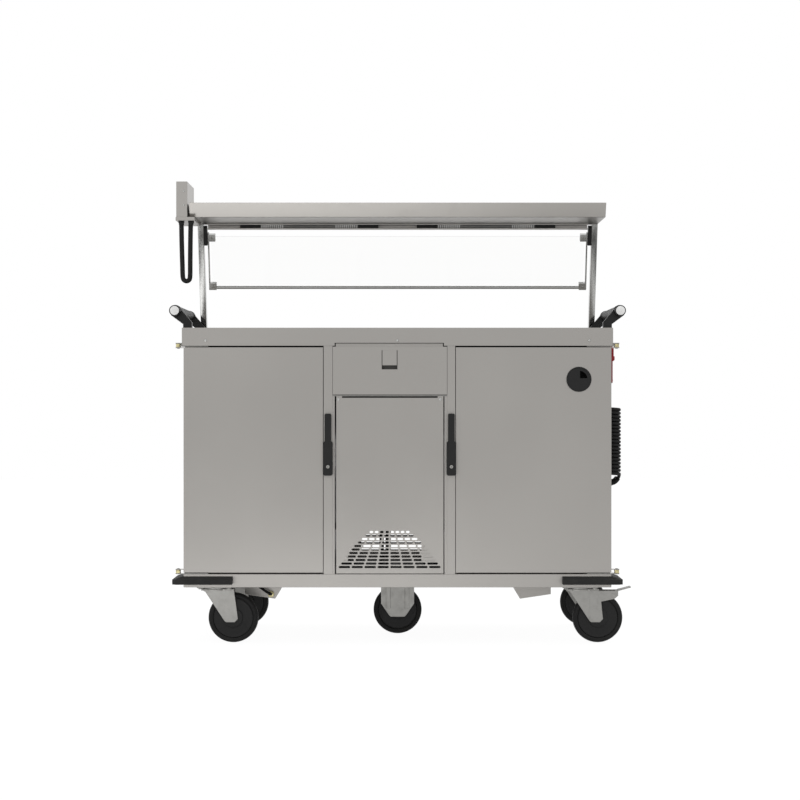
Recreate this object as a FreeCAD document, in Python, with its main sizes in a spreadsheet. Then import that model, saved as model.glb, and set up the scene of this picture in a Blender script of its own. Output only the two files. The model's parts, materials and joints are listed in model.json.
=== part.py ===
"""Mobile salad bar: a cooled serving cart with three pans, a lit canopy and a tilting glass guard.

Millimetres.  X runs to the right, Y away from the operator's side (the door side faces -Y),
Z up from the floor.  The origin is on the floor under the middle of the cart.
"""
import FreeCAD, Part
import math
import os
from types import SimpleNamespace

import Sketcher

os.makedirs("parts", exist_ok=True)
doc = FreeCAD.newDocument("salad_bar")

# ---------------------------------------------------------------- driving dimensions

DIMENSIONS = [
    # cabinet
    ("body_width", 1356), ("body_depth", 710),
    ("chassis_bottom", 182), ("chassis_top", 224), ("chassis_sheet", 3),
    ("shell_front", -315), ("wall_thick", 28), ("skin_thick", 2),
    ("fascia_bottom", 948), ("fascia_top", 1005), ("fascia_width", 1367), ("fascia_depth", 718),
    ("sill_height", 24), ("ceiling_bottom", 752), ("ceiling_top", 775), ("header_thick", 23),
    # doors and the posts between them
    ("door_thick", 36), ("door_bottom", 229), ("door_top", 943), ("door_slit", 2),
    ("left_post_outer", -234), ("left_post_inner", -206),
    ("right_post_inner", 158), ("right_post_outer", 183),
    ("jamb_width", 7), ("wide_jamb", 9), ("jamb_recess", 3), ("jamb_top", 788), ("door_step", 12),
    ("hinge_out", 17), ("hinge_back", 6), ("hinge_pin_dia", 8), ("hinge_bush_dia", 16.5),
    ("hinge_eye_dia", 18), ("hinge_plate", 2.5), ("hinge_strap", 12), ("hinge_reach", 78),
    ("bush_length", 11), ("play", 0.3), ("pin_fit", 0.1),
    ("gasket_width", 6), ("gasket_thick", 3.7),
    # middle bay
    ("hatch_left", -194), ("hatch_right", 145.5), ("hatch_bottom", 226), ("hatch_top", 783),
    ("hatch_ear", 18),
    ("hatch_deep", 20), ("louvre_first", 246.5), ("louvre_pitch", 11.1), ("louvre_high", 7),
    ("louvre_half", 161.6), ("louvre_middle", -25), ("louvre_web", 4.4), ("louvre_clip", 2.6),
    ("duct_left", -157), ("duct_right", 76), ("unit_shelf", 359),
    ("flap_bottom", 793), ("flap_top", 945), ("flap_thick", 18), ("flap_gap", 1), ("flap_proud", 2),
    ("pull_left", -50), ("pull_right", 0), ("pull_bottom", 873), ("pull_top", 934),
    ("pull_mouth", 13), ("pull_deep", 16), ("pull_slit", 2.2), ("flap_pin_y", -353),
    ("flap_pin_z", 796), ("flap_pin_radius", 1.5),
    ("catch_slot_left", -199), ("catch_slot_right", 147), ("catch_slot_high", 9),
    # well and pans
    ("well_length", 960), ("well_width", 510), ("well_wall", 20), ("well_floor", 25),
    ("pan_pitch", 327), ("pan_length", 530), ("pan_width", 325), ("pan_deep", 150),
    ("pan_body_length", 502), ("pan_body_width", 303), ("pan_sheet", 1.5), ("pan_corner", 40),
    # castors
    ("castor_x", 583), ("castor_y", 273), ("castor_trail", 57.5), ("wheel_radius", 80),
    ("axle_radius", 6), ("hub_half", 22), ("fork_inside", 23.5), ("fork_sheet", 4),
    ("crown_top", 171.6), ("crown_sheet", 4.6), ("plate_sheet", 5), ("king_radius", 8),
    ("pedal_pivot_x", 104), ("pedal_pivot_z", 156), ("pedal_half", 20),
    # bumpers
    ("bumper_leg", 190), ("bumper_out", 34), ("bumper_bottom", 193), ("bumper_edge", 209),
    ("bumper_top", 217), ("bumper_clip", 12),
    # push handles
    ("handle_x", 715), ("handle_z", 1063), ("handle_radius", 17.5), ("handle_wall", 3),
    ("handle_half", 275), ("bracket_y", 232), ("bracket_half", 15), ("bracket_grip", 1.5),
    # canopy
    ("canopy_top", 1417), ("canopy_under", 1371.5), ("canopy_half_top", 184),
    ("canopy_half_low", 156), ("canopy_sheet", 2),
    ("stand_wide", 20), ("stand_deep", 40), ("stand_foot_y", 284), ("stand_head_y", 145),
    ("stand_wall", 2.5),
    ("rail_half", 644), ("rail_front", 112), ("rail_back", 150), ("rail_high", 17.5), ("rail_sheet", 3),
    ("lamp_inner", 65), ("lamp_outer", 533),
    ("driver_left", -720), ("driver_right", -684), ("driver_top", 1487),
    ("driver_front", -170), ("driver_back", 64), ("driver_foot", 12),
    # glass guard
    ("guard_y", 155), ("guard_z", 1340), ("guard_lean", 19.1), ("glass_half", 634),
    ("glass_thick", 6), ("glass_low", 183), ("glass_high", 8), ("clamp_inner", 620),
    ("guard_outer", 646), ("guard_bar", 5), ("clamp_side", 24), ("rod_radius", 5), ("rod_drop", 189),
    # side fittings
    ("switch_front", 180), ("switch_back", 255), ("switch_bottom", 834), ("switch_top", 962),
    ("switch_out", 733.5), ("knob_radius", 6.5), ("knob_high", 6), ("knob_z", 919),
    ("coil_x", 733), ("coil_y", 245), ("coil_radius", 29.25), ("cord_dia", 11.5),
    ("coil_pitch", 12.5), ("coil_top", 744), ("inlet_out", 14), ("inlet_radius", 13),
    ("box_inner", 384), ("box_outer", 502), ("box_half", 120),
    ("gland_x", -414), ("gland_z", 141), ("gland_radius", 10), ("hose_dia", 9),
    ("cable_dia", 14),
    ("dial_x", 575), ("dial_z", 841.6), ("dial_radius", 39.6), ("dial_thick", 3.2),
    ("latch_bottom", 537), ("latch_top", 733), ("latch_shoulder", 646), ("latch_wide", 30),
    ("latch_narrow", 20.7), ("latch_thick", 22), ("latch_pivot", 552), ("lock_rise", 13),
]


class Size:
    """A length that carries its value and the spreadsheet expression that gives it."""

    def __init__(self, value, text):
        self.value = value
        self.text = text

    def __add__(self, other):
        other = as_size(other)
        return Size(self.value + other.value, f"({self.text} + {other.text})")

    def __sub__(self, other):
        other = as_size(other)
        return Size(self.value - other.value, f"({self.text} - {other.text})")

    def __mul__(self, factor):
        return Size(self.value * factor, f"({self.text} * {factor})")

    def __truediv__(self, divisor):
        return Size(self.value / divisor, f"({self.text} / {divisor})")

    def __neg__(self):
        return self * -1

    def __rsub__(self, other):
        return as_size(other) - self

    __radd__ = __add__
    __rmul__ = __mul__


def as_size(number):
    return number if isinstance(number, Size) else Size(number, str(number))


def write_sheet():
    """The driving dimensions as an aliased column, and the same names as sizes for this script."""
    sheet = doc.addObject("Spreadsheet::Sheet", "sizes")
    for row, (name, value) in enumerate(DIMENSIONS, 1):
        sheet.set(f"A{row}", name)
        sheet.set(f"B{row}", str(value))
        sheet.setAlias(f"B{row}", name)
    doc.recompute()
    return SimpleNamespace(**{name: Size(value, f"sizes.{name}") for name, value in DIMENSIONS})


s = write_sheet()
side_face = s.body_width / 2
front_face = -s.body_depth / 2
back_face = s.body_depth / 2
door_inner = front_face + s.door_thick
hinge_x = side_face + s.hinge_out
hinge_y = front_face + s.hinge_back
shell_inside = side_face - s.wall_thick

# ---------------------------------------------------------------- drawing helpers


def bind(thing, path, size):
    """Tie a property to the spreadsheet."""
    thing.setExpression(path, size.text)


class Arc:
    """An arc in an outline: the point it passes through and the one it ends on."""

    def __init__(self, through, to, radius):
        self.through = through
        self.to = to
        self.radius = as_size(radius)


class Circle:
    def __init__(self, x, y, radius):
        self.x = as_size(x)
        self.y = as_size(y)
        self.radius = as_size(radius)


def rectangle(x0, y0, x1, y1):
    return [(x0, y0), (x1, y0), (x1, y1), (x0, y1)]


def rounded(x0, y0, x1, y1, radius):
    """A rectangle with round corners."""
    x0, y0, x1, y1, radius = (as_size(v) for v in (x0, y0, x1, y1, radius))
    near = radius * (1 - math.sqrt(0.5))
    return [
        (x0 + radius, y0), (x1 - radius, y0),
        Arc((x1 - near, y0 + near), (x1, y0 + radius), radius), (x1, y1 - radius),
        Arc((x1 - near, y1 - near), (x1 - radius, y1), radius), (x0 + radius, y1),
        Arc((x0 + near, y1 - near), (x0, y1 - radius), radius), (x0, y0 + radius),
        Arc((x0 + near, y0 + near), (x0 + radius, y0), radius),
    ]


def vector(x, y):
    return FreeCAD.Vector(as_size(x).value, as_size(y).value, 0)


def pin(sketch, geometry, end, x, y):
    """Hold one end of a line at its place from the sketch's origin."""
    for kind, size in (("DistanceX", as_size(x)), ("DistanceY", as_size(y))):
        index = sketch.addConstraint(Sketcher.Constraint(kind, -1, 1, geometry, end, size.value))
        bind(sketch, f"Constraints[{index}]", size)


def add_circle(sketch, ring):
    centre = vector(ring.x, ring.y)
    circle = Part.Circle(centre, FreeCAD.Vector(0, 0, 1), ring.radius.value)
    index = sketch.addGeometry(circle, False)
    held = sketch.addConstraint(Sketcher.Constraint("Radius", index, ring.radius.value))
    bind(sketch, f"Constraints[{held}]", ring.radius)
    pin(sketch, index, 3, ring.x, ring.y)


def add_outline(sketch, ring):
    """A closed outline of straight lines and arcs, each corner held from the origin."""
    here = ring[0]
    end = ring[-1].to if isinstance(ring[-1], Arc) else ring[-1]
    closed = (vector(*end) - vector(*here)).Length < 1e-6
    steps = ring[1:] if closed else ring[1:] + [ring[0]]
    lines, arcs = [], []
    for step in steps:
        if isinstance(step, Arc):
            curve = Part.Arc(vector(*here), vector(*step.through), vector(*step.to))
            index = sketch.addGeometry(curve, False)
            arcs.append((index, step.radius))
            there = step.to
        else:
            index = sketch.addGeometry(Part.LineSegment(vector(*here), vector(*step)), False)
            there = step
        lines.append((index, here, there))
        here = there
    for (index, _, there), (following, _, _) in zip(lines, lines[1:] + lines[:1]):
        leave, enter = end_at(sketch, index, there), end_at(sketch, following, there)
        sketch.addConstraint(Sketcher.Constraint("Coincident", index, leave, following, enter))
    for index, start, _ in lines:
        pin(sketch, index, end_at(sketch, index, start), *start)
    for index, radius in arcs:
        held = sketch.addConstraint(Sketcher.Constraint("Radius", index, radius.value))
        bind(sketch, f"Constraints[{held}]", radius)


def end_at(sketch, index, place):
    """Which end of a curve, 1 or 2, lies at a place: an arc may be stored the other way round."""
    first, second = [(sketch.getPoint(index, end) - vector(*place)).Length for end in (1, 2)]
    return 1 if first < second else 2


def new_body(label, x=0, y=0, z=0):
    body = doc.addObject("PartDesign::Body", "Body")
    body.Label = label
    place = [as_size(v) for v in (x, y, z)]
    body.Placement.Base = FreeCAD.Vector(*[v.value for v in place])
    for axis, size in zip("xyz", place):
        bind(body, f"Placement.Base.{axis}", size)
    return body


def draw(body, plane, offset, rings):
    """A sketch on one of the body's own planes, lifted along that plane's normal."""
    sketch = body.newObject("Sketcher::SketchObject", "Sketch")
    planes = [f for f in body.Origin.OriginFeatures if f.Role == plane + "_Plane"]
    sketch.AttachmentSupport = [(planes[0], "")]
    sketch.MapMode = "FlatFace"
    sketch.AttachmentOffset = FreeCAD.Placement(
        FreeCAD.Vector(0, 0, offset.value), FreeCAD.Rotation()
    )
    bind(sketch, "AttachmentOffset.Base.z", offset)
    for ring in rings:
        if isinstance(ring, Circle):
            add_circle(sketch, ring)
        else:
            add_outline(sketch, ring)
    return sketch


def pad(body, plane, low, high, *rings):
    """Material between two places along the plane's axis; the XZ plane's normal points to -Y."""
    low, high = as_size(low), as_size(high)
    sketch = draw(body, plane, -high if plane == "XZ" else low, rings)
    feature = body.newObject("PartDesign::Pad", "Pad")
    feature.Profile = sketch
    bind(feature, "Length", high - low)
    return feature


def cut(body, plane, low, high, *rings):
    """Material taken away between two places along the plane's axis."""
    low, high = as_size(low), as_size(high)
    sketch = draw(body, plane, -low if plane == "XZ" else high, rings)
    feature = body.newObject("PartDesign::Pocket", "Pocket")
    feature.Profile = sketch
    bind(feature, "Length", high - low)
    return feature


def turn(body, ring, plane="XY"):
    """A revolution about the sketch's upright axis: Y of the XY plane, Z of the XZ plane."""
    sketch = draw(body, plane, as_size(0), [ring])
    feature = body.newObject("PartDesign::Revolution", "Revolution")
    feature.Profile = sketch
    feature.ReferenceAxis = (sketch, ["V_Axis"])
    feature.Angle = 360
    return feature


def repeat(body, feature, axis, length, count):
    """A row of equal features along the sketch's own axis."""
    pattern = body.newObject("PartDesign::LinearPattern", "LinearPattern")
    pattern.Originals = [feature]
    pattern.Direction = (feature.Profile[0], [axis])
    bind(pattern, "Length", as_size(length))
    pattern.Occurrences = count
    body.Tip = pattern
    return pattern


def soften(body, radius, wanted):
    """Round the edges of the body's newest shape that the test picks."""
    doc.recompute()
    tip = body.Tip
    names = [f"Edge{i}" for i, edge in enumerate(tip.Shape.Edges, 1) if wanted(edge)]
    fillet = body.newObject("PartDesign::Fillet", "Fillet")
    fillet.Base = (tip, names)
    fillet.Radius = radius
    return fillet


def along(axis):
    """A test for straight edges that run along one axis."""
    def test(edge):
        if not isinstance(edge.Curve, Part.Line):
            return False
        run = edge.Vertexes[1].Point - edge.Vertexes[0].Point
        return abs(getattr(run, axis)) > 0.999 * run.Length
    return test


NODES = []


def node(thing):
    NODES.append(thing)
    return thing


def group(label, bodies):
    """Several equal pieces kept together under one name."""
    bunch = doc.addObject("Part::Compound", "Compound")
    bunch.Label = label
    bunch.Links = bodies
    return node(bunch)

# ---------------------------------------------------------------- cabinet


def chassis():
    """A welded tray of sheet: flat top, turned-down rim, closed ends that carry the castors."""
    body = new_body("chassis")
    half_x, half_y, sheet = side_face, back_face, s.chassis_sheet
    low, high = s.chassis_bottom, s.chassis_top
    pad(body, "XY", low, high, rectangle(-half_x, -half_y, half_x, half_y))
    inner_x, inner_y = half_x - sheet, half_y - sheet
    cut(body, "XY", low + sheet, high - sheet, rectangle(-inner_x, -inner_y, inner_x, inner_y))
    for side in (-1, 1):
        bay = rectangle(side * 65, 15 - inner_y, side * 355, inner_y - 15)
        cut(body, "XY", low, low + sheet, bay)
        for rib_x in (62, 358):
            web = rectangle(side * rib_x, -inner_y, side * (s.chassis_sheet + rib_x), inner_y)
            pad(body, "XY", low, high, web)
    for left, right in (
        (-shell_inside, s.left_post_outer - s.door_step),
        (s.right_post_outer + s.door_step, shell_inside),
    ):
        sill = rectangle(left, s.shell_front, right, s.shell_front + s.header_thick)
        pad(body, "XY", high - 1, high + s.sill_height, sill)
    return node(body)


def cabinet_shell():
    """The double-skinned casing: two sides and a back in one, with a window behind the middle bay."""
    body = new_body("cabinet_shell")
    low, high, wall, skin = s.chassis_top, s.fascia_top - s.skin_thick, s.wall_thick, s.skin_thick
    front, back = s.shell_front, back_face
    outline = [
        (-side_face, front), (-shell_inside, front), (-shell_inside, back - wall),
        (shell_inside, back - wall), (shell_inside, front), (side_face, front),
        (side_face, back), (-side_face, back),
    ]
    pad(body, "XY", low, high, outline)
    for side in (-1, 1):
        outer, inner = side * (side_face - skin), side * (shell_inside + skin)
        stop = side * 205
        gap = [
            (outer, front + skin), (inner, front + skin), (inner, back - wall + skin),
            (stop, back - wall + skin), (stop, back - skin), (outer, back - skin),
        ]
        cut(body, "XY", low + skin, high, gap)
    cut(body, "XZ", back - wall, back, rectangle(-180, 250, 132, 700))
    return node(body)


def rear_vent_panel():
    """The slotted plate behind the cooling unit."""
    body = new_body("rear_vent_panel")
    pad(body, "XZ", back_face, back_face + 2, rectangle(-200, 242, 152, 720))
    slot = rectangle(-127, 255, 83, 271)
    first = cut(body, "XZ", back_face, back_face + 2, slot)
    repeat(body, first, "V_Axis", 375, 16)
    soften(body, 6, lambda edge: along("y")(edge) and abs(edge.BoundBox.XMin + 24) > 170)
    return node(body)


def partition(label, side, outer, inner, jamb_out):
    """The post between a door and the middle bay, with the partition wall behind it."""
    body = new_body(label)
    high = s.fascia_top - s.skin_thick
    pad(body, "XY", s.chassis_top, high, rectangle(outer, front_face, inner, s.shell_front))
    wall = rectangle(outer + side * s.door_step, s.shell_front, inner, back_face - s.wall_thick)
    pad(body, "XY", s.chassis_top, s.ceiling_bottom, wall)
    jamb = rectangle(inner, front_face + s.jamb_recess, jamb_out, s.shell_front)
    pad(body, "XY", s.chassis_top, s.jamb_top, jamb)
    spindle = Circle((outer + inner) / 2, s.latch_pivot, 5 + s.pin_fit)
    cut(body, "XZ", front_face, front_face + 18, spindle)
    flap_pin = Circle(s.flap_pin_y, s.flap_pin_z, s.flap_pin_radius + s.pin_fit)
    cut(body, "YZ", *ordered(inner, inner + side * 4), flap_pin)
    return node(body)


def inner_bulkhead():
    """The insulated ceiling of the lower bays and the header that closes their front."""
    body = new_body("inner_bulkhead")
    front, back = s.shell_front, back_face - s.wall_thick
    profile = [
        (front, s.ceiling_bottom), (back, s.ceiling_bottom), (back, s.ceiling_top),
        (front + s.header_thick, s.ceiling_top),
        (front + s.header_thick, s.fascia_top - s.skin_thick), (front, s.fascia_top - s.skin_thick),
    ]
    pad(body, "YZ", -shell_inside, shell_inside, profile)
    return node(body)


def runner_rack(wall_x, into):
    """A pressed rack of four ledges on one wall of a lower bay."""
    body = new_body("rack")
    front, back, plate = -290, 300, 1.5
    pad(body, "YZ", *ordered(wall_x, wall_x + into * plate), rectangle(front, 262, back, 738))
    ledge = rectangle(wall_x, front, wall_x + into * 22, back)
    first = pad(body, "XY", 300, 302, ledge)
    pattern = body.newObject("PartDesign::LinearPattern", "LinearPattern")
    pattern.Originals = [first]
    pattern.Direction = (first.Profile[0], ["N_Axis"])
    pattern.Length = 345
    pattern.Occurrences = 4
    body.Tip = pattern
    return body


def ordered(one, other):
    return (one, other) if as_size(one).value < as_size(other).value else (other, one)


def shelf_runners():
    return group("shelf_runners", [
        runner_rack(-shell_inside, 1),
        runner_rack(s.left_post_outer - s.door_step, -1),
        runner_rack(s.right_post_outer + s.door_step, 1),
        runner_rack(shell_inside, -1),
    ])


def worktop():
    """The deck with its turned-down fascia, the cut-out for the pans and the catch slot."""
    body = new_body("worktop")
    x, y, skin = s.fascia_width / 2, s.fascia_depth / 2, s.skin_thick
    low, high = s.fascia_bottom, s.fascia_top
    pad(body, "XY", low, high, rectangle(-x, -y, x, y))
    soften(body, 4, along("z"))
    cut(body, "XY", low, high - skin, rectangle(skin - x, skin - y, x - skin, y - skin))
    half_x, half_y = s.well_length / 2, s.well_width / 2
    cut(body, "XY", high - skin, high, rectangle(-half_x, -half_y, half_x, half_y))
    slot = rectangle(s.catch_slot_left, low, s.catch_slot_right, low + s.catch_slot_high)
    cut(body, "XZ", -y, skin - y, slot)
    return node(body)


def well_tub():
    """The cooled, insulated tub that hangs under the deck round the three pans."""
    body = new_body("well_tub")
    half_x, half_y, wall = s.well_length / 2 + 12, s.well_width / 2 + 4, s.well_wall
    high = s.fascia_top - s.skin_thick
    outer = rectangle(-half_x - wall, -half_y - wall, half_x + wall, half_y + wall)
    pad(body, "XY", s.ceiling_top, high, outer)
    inner = rectangle(-half_x, -half_y, half_x, half_y)
    cut(body, "XY", s.ceiling_top + s.well_floor, high, inner)
    return node(body)


def pan(label, place):
    """A lift-out food pan: deep body with round corners under a flat rim."""
    body = new_body(label, s.pan_pitch * place, 0, s.fascia_top)
    rim_x, rim_y = s.pan_width / 2, s.pan_length / 2
    tub_x, tub_y, sheet = s.pan_body_width / 2, s.pan_body_length / 2, s.pan_sheet
    pad(body, "XY", 0, sheet, rounded(-rim_x, -rim_y, rim_x, rim_y, 16))
    pad(body, "XY", -s.pan_deep, 1, rounded(-tub_x, -tub_y, tub_x, tub_y, s.pan_corner))
    inner = rounded(sheet - tub_x, sheet - tub_y, tub_x - sheet, tub_y - sheet,
                    s.pan_corner - s.pan_sheet)
    cut(body, "XY", sheet - s.pan_deep, sheet + 1, inner)
    return node(body)


# ---------------------------------------------------------------- middle bay


def service_hatch():
    """The lower cover: a shallow tray with a tapering field of slots and a blank behind each end."""
    body = new_body("service_hatch")
    left, right, low, high = s.hatch_left, s.hatch_right, s.hatch_bottom, s.hatch_top
    outside, skin = front_face + 2, s.skin_thick
    pad(body, "XZ", outside, outside + s.hatch_deep, rectangle(left, low, right, high))
    hollow = rectangle(left + skin, low + skin, right - skin, high - skin)
    cut(body, "XZ", outside + skin, outside + s.hatch_deep, hollow)
    for ear in (left, right - s.hatch_ear):
        pad(body, "XZ", outside, outside + skin, rectangle(ear, high - 1, ear + s.hatch_ear, high + 5))
    for near, far in ((left, s.duct_left), (s.duct_right, right)):
        pad(body, "XZ", outside + 4, outside + 5.5, rectangle(near, 262, far, 352))
    rows, columns = 11, 8
    middle, half = s.louvre_middle, s.louvre_half
    for row in range(rows):
        pitch = (half * 2 + s.louvre_web) / columns
        z = s.louvre_first + s.louvre_pitch * row
        slot = clipped(middle - half, z - s.louvre_high / 2, middle - half + pitch - s.louvre_web,
                       z + s.louvre_high / 2, s.louvre_clip)
        first = cut(body, "XZ", outside, outside + skin, slot)
        repeat(body, first, "H_Axis", pitch * (columns - 1), columns)
        half = half - (8.2 if row < 6 else 12.2)
    return node(body)


def clipped(x0, y0, x1, y1, clip):
    """A rectangle with its corners cut off."""
    return [
        (x0 + clip, y0), (x1 - clip, y0), (x1, y0 + clip), (x1, y1 - clip),
        (x1 - clip, y1), (x0 + clip, y1), (x0, y1 - clip), (x0, y0 + clip),
    ]


def control_flap():
    """The drop-down cover of the controls: hinge pins, a slit finger pull and a lip with its catch."""
    body = new_body("control_flap")
    outside = front_face - s.flap_proud
    left, right = s.left_post_inner + s.flap_gap, s.right_post_inner - s.flap_gap
    pad(body, "XZ", outside, outside + s.flap_thick, rectangle(left, s.flap_bottom, right, s.flap_top))
    lip = rectangle(s.catch_slot_left + 3, s.flap_top - 4, s.catch_slot_right - 3, s.flap_top + 10.5)
    pad(body, "XZ", front_face + 7, front_face + 10, lip)
    pad(body, "XZ", front_face + 4, front_face + 8, rectangle(-42, s.flap_top - 4, -8, s.flap_top + 9))
    low, high, slit = s.pull_bottom, s.pull_top, s.pull_slit
    for x0, z1, x1 in (
        (s.pull_left, low + s.pull_mouth, s.pull_right), (s.pull_left, high, s.pull_left + slit),
        (s.pull_right - slit, high, s.pull_right),
    ):
        cut(body, "XZ", outside, outside + s.pull_deep, rectangle(x0, low, x1, z1))
    cut(body, "XZ", outside, outside + 1, rectangle(s.pull_left, high - 1, s.pull_right, high))
    for near, far in ((left - 4, left + 1), (right - 1, right + 4)):
        pad(body, "YZ", near, far, Circle(s.flap_pin_y, s.flap_pin_z, s.flap_pin_radius))
    return node(body)


def controller():
    """The cooling controller behind the flap: a bezel with a sunk display and four keys."""
    body = new_body("controller")
    back = s.shell_front
    pad(body, "XZ", back - 12, back, rounded(20, 826, 122, 884, 5))
    cut(body, "XZ", back - 12, back - 9, rectangle(30, 836, 78, 874))
    for x in (90, 108):
        for z in (845, 865):
            pad(body, "XZ", back - 14, back - 11, Circle(x, z, 6))
    return node(body)


def condensing_unit():
    """The cooling unit on a shelf over the air duct, with two lagged pipes that drop from it."""
    base = new_body("unit_shelf")
    floor = s.unit_shelf
    shelf = rectangle(s.left_post_inner, -250, s.right_post_inner, 240)
    pad(base, "XY", floor, floor + 4, shelf)
    pipes = [new_body("pipe", x, -262, s.chassis_top) for x in (-50.7, -29.8)]
    for pipe, radius in zip(pipes, (7.2, 8.8)):
        pad(pipe, "XY", 0, floor + 40 - s.chassis_top, Circle(0, 0, radius))
    can = new_body("compressor", -98, 110, floor + 4)
    turn(can, [
        (0, 0), (62, 0), (62, 8), (50, 8), (62, 26), (62, 150), (58, 165), (47, 178), (28, 187),
        (0, 187),
    ], "XZ")
    core = new_body("condenser", 52, -150, floor + 4)
    fan_z = 92
    pad(core, "XZ", -52, 0, rectangle(-76, 0, 76, 184))
    fin = cut(core, "XZ", -52, -30, rectangle(-70, 10, -58, 174))
    repeat(core, fin, "H_Axis", 128, 9)
    pad(core, "XZ", -1, 34, rectangle(-76, 0, 76, 184))
    cut(core, "XZ", 2, 34, Circle(0, fan_z, 71))
    pad(core, "XZ", 44, 100, Circle(0, fan_z, 28))
    pad(core, "XZ", 60, 72, rectangle(-9, 0, 9, fan_z))
    pad(core, "XY", 0, 4, rectangle(-30, -1, 30, 110))
    pad(core, "XZ", 20, 45, Circle(0, fan_z, 4))
    return group("condensing_unit", [base, can, core, *pipes])


def fan_rotor():
    """The condenser fan: five pitched blades on a bored hub."""
    body = new_body("fan_rotor", 52, -130, s.unit_shelf + 96)
    pad(body, "XZ", -8, 12, Circle(0, 0, 20))
    blades = 5
    for blade in range(blades):
        angle = 2 * math.pi * blade / blades
        tip, root, sweep = 64, 16, 0.5
        outline = [
            (root * math.cos(angle - 0.2), root * math.sin(angle - 0.2)),
            (tip * math.cos(angle - 0.05), tip * math.sin(angle - 0.05)),
            (tip * math.cos(angle + sweep), tip * math.sin(angle + sweep)),
            (root * math.cos(angle + 0.6), root * math.sin(angle + 0.6)),
        ]
        pad(body, "XZ", -1.5, 1.5, outline)
    cut(body, "XZ", -8, 12, Circle(0, 0, 4 + s.pin_fit))
    return node(body)


# ---------------------------------------------------------------- doors


def door(label, side, inner):
    """A door leaf with a turned-in rim, a raised liner and straps that carry the hinge eyes."""
    body = new_body(label)
    outer = side * side_face
    leaf = frame_ring(outer, inner, 0, 0)
    pad(body, "XZ", front_face, door_inner - 8, leaf)
    pad(body, "XZ", door_inner - 9, door_inner, leaf, frame_ring(outer, inner, 28, 28))
    pad(body, "XZ", door_inner - 9, door_inner - 4, frame_ring(outer, inner, 40, 40))
    low_strap = s.chassis_top + s.hinge_plate + s.play + s.bush_length + s.play
    for z in (s.door_top - s.hinge_plate, low_strap):
        strap = rectangle(side * (side_face - 8), front_face, side * hinge_x,
                          front_face + s.hinge_strap)
        pad(body, "XY", z, z + s.hinge_plate, strap)
        pad(body, "XY", z, z + s.hinge_plate, Circle(side * hinge_x, hinge_y, s.hinge_eye_dia / 2))
        hole = Circle(side * hinge_x, hinge_y, s.hinge_pin_dia / 2 + s.pin_fit)
        cut(body, "XY", z, z + s.hinge_plate, hole)
    return body


def frame_ring(outer, inner, outer_inset, inner_inset, low_inset=None):
    """A rectangle set in from a door's outer and inner edges, and as far from top and bottom."""
    away = 1 if as_size(outer).value > as_size(inner).value else -1
    low_inset = outer_inset if low_inset is None else low_inset
    left, right = ordered(outer - away * outer_inset, inner + away * inner_inset)
    return rectangle(left, s.door_bottom + low_inset, right, s.door_top - low_inset)


def left_door():
    return node(door("left_door", -1, s.left_post_outer - s.door_slit))


def sector(gap, radius):
    """A quarter disc in the upper right, with its corner a little off the centre."""
    far = math.sqrt(radius**2 - gap**2)
    middle = radius * math.sqrt(0.5)
    return [(gap, gap), (far, gap), Arc((middle, middle), (gap, far), radius)]


def right_door():
    """The wider leaf, which also has the vent behind the dial and the bore of its spindle."""
    body = door("right_door", 1, s.right_post_outer + s.door_slit)
    dial_x, dial_z = s.dial_x, s.dial_z
    corners = (3.4, 3.4), (30, 3.4), (30, 14), (14, 30), (3.4, 30)
    vent = [(dial_x + x, dial_z + z) for x, z in corners]
    cut(body, "XZ", front_face, door_inner, vent)
    bore = Circle(dial_x, dial_z, 4 + s.pin_fit)
    cut(body, "XZ", front_face, front_face + 12, bore)
    return node(body)


def vent_dial():
    """The turning cover of the vent: a rimmed disc with a quarter cut away."""
    body = new_body("vent_dial", s.dial_x, front_face - s.play, s.dial_z)
    pad(body, "XZ", -s.dial_thick, 0, Circle(0, 0, s.dial_radius))
    pad(body, "XZ", -s.dial_thick - 1.5, -1, Circle(0, 0, s.dial_radius),
        Circle(0, 0, s.dial_radius - 3.5))
    cut(body, "XZ", -s.dial_thick, 0, sector(3.5, 27))
    pad(body, "XZ", -1, 10, Circle(0, 0, 4))
    return node(body)


def gasket(label, side, inner):
    """The soft seal round a door's inner face."""
    body = new_body(label)
    outer, width = side * side_face, s.gasket_width
    rings = [frame_ring(outer, inner, 10 + i, 2 + i, 4 + i) for i in (0, width.value)]
    pad(body, "XZ", door_inner, door_inner + s.gasket_thick, *rings)
    return node(body)


def hinge_arm(side, top):
    """The cabinet's half of one hinge: a plate under the fascia or on the chassis, and its pin."""
    body = new_body("arm")
    plate, strap_back = s.hinge_plate, front_face + s.hinge_strap
    bush_gap = s.play + s.bush_length + s.play
    root = side * (side_face - s.hinge_reach)
    pin_radius = s.hinge_pin_dia / 2
    if top:
        eye = s.door_top + bush_gap
        low, high = s.fascia_bottom - plate, s.fascia_bottom
        bend = side * 684
        bent = [
            (root, low), (bend + side * 2.3, low), (bend + side * 2.3, eye),
            (side * hinge_x, eye), (side * hinge_x, eye + plate), (bend, eye + plate),
            (bend, high), (root, high),
        ]
        pad(body, "XY", low, high, rectangle(root, front_face, bend, s.shell_front))
        pad(body, "XZ", front_face, strap_back, bent)
        pin_low, pin_high = s.door_top - plate - 2, eye + plate
    else:
        eye = s.chassis_top
        pad(body, "XY", eye, eye + plate, rectangle(root, front_face, side * side_face, s.shell_front))
        strap = rectangle(side * (side_face - 8), front_face, side * hinge_x, strap_back)
        pad(body, "XY", eye, eye + plate, strap)
        pin_low, pin_high = eye, eye + bush_gap + plate * 2 + 2
    pad(body, "XY", eye, eye + plate, Circle(side * hinge_x, hinge_y, s.hinge_eye_dia / 2))
    pad(body, "XY", pin_low, pin_high, Circle(side * hinge_x, hinge_y, pin_radius))
    return body


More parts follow.
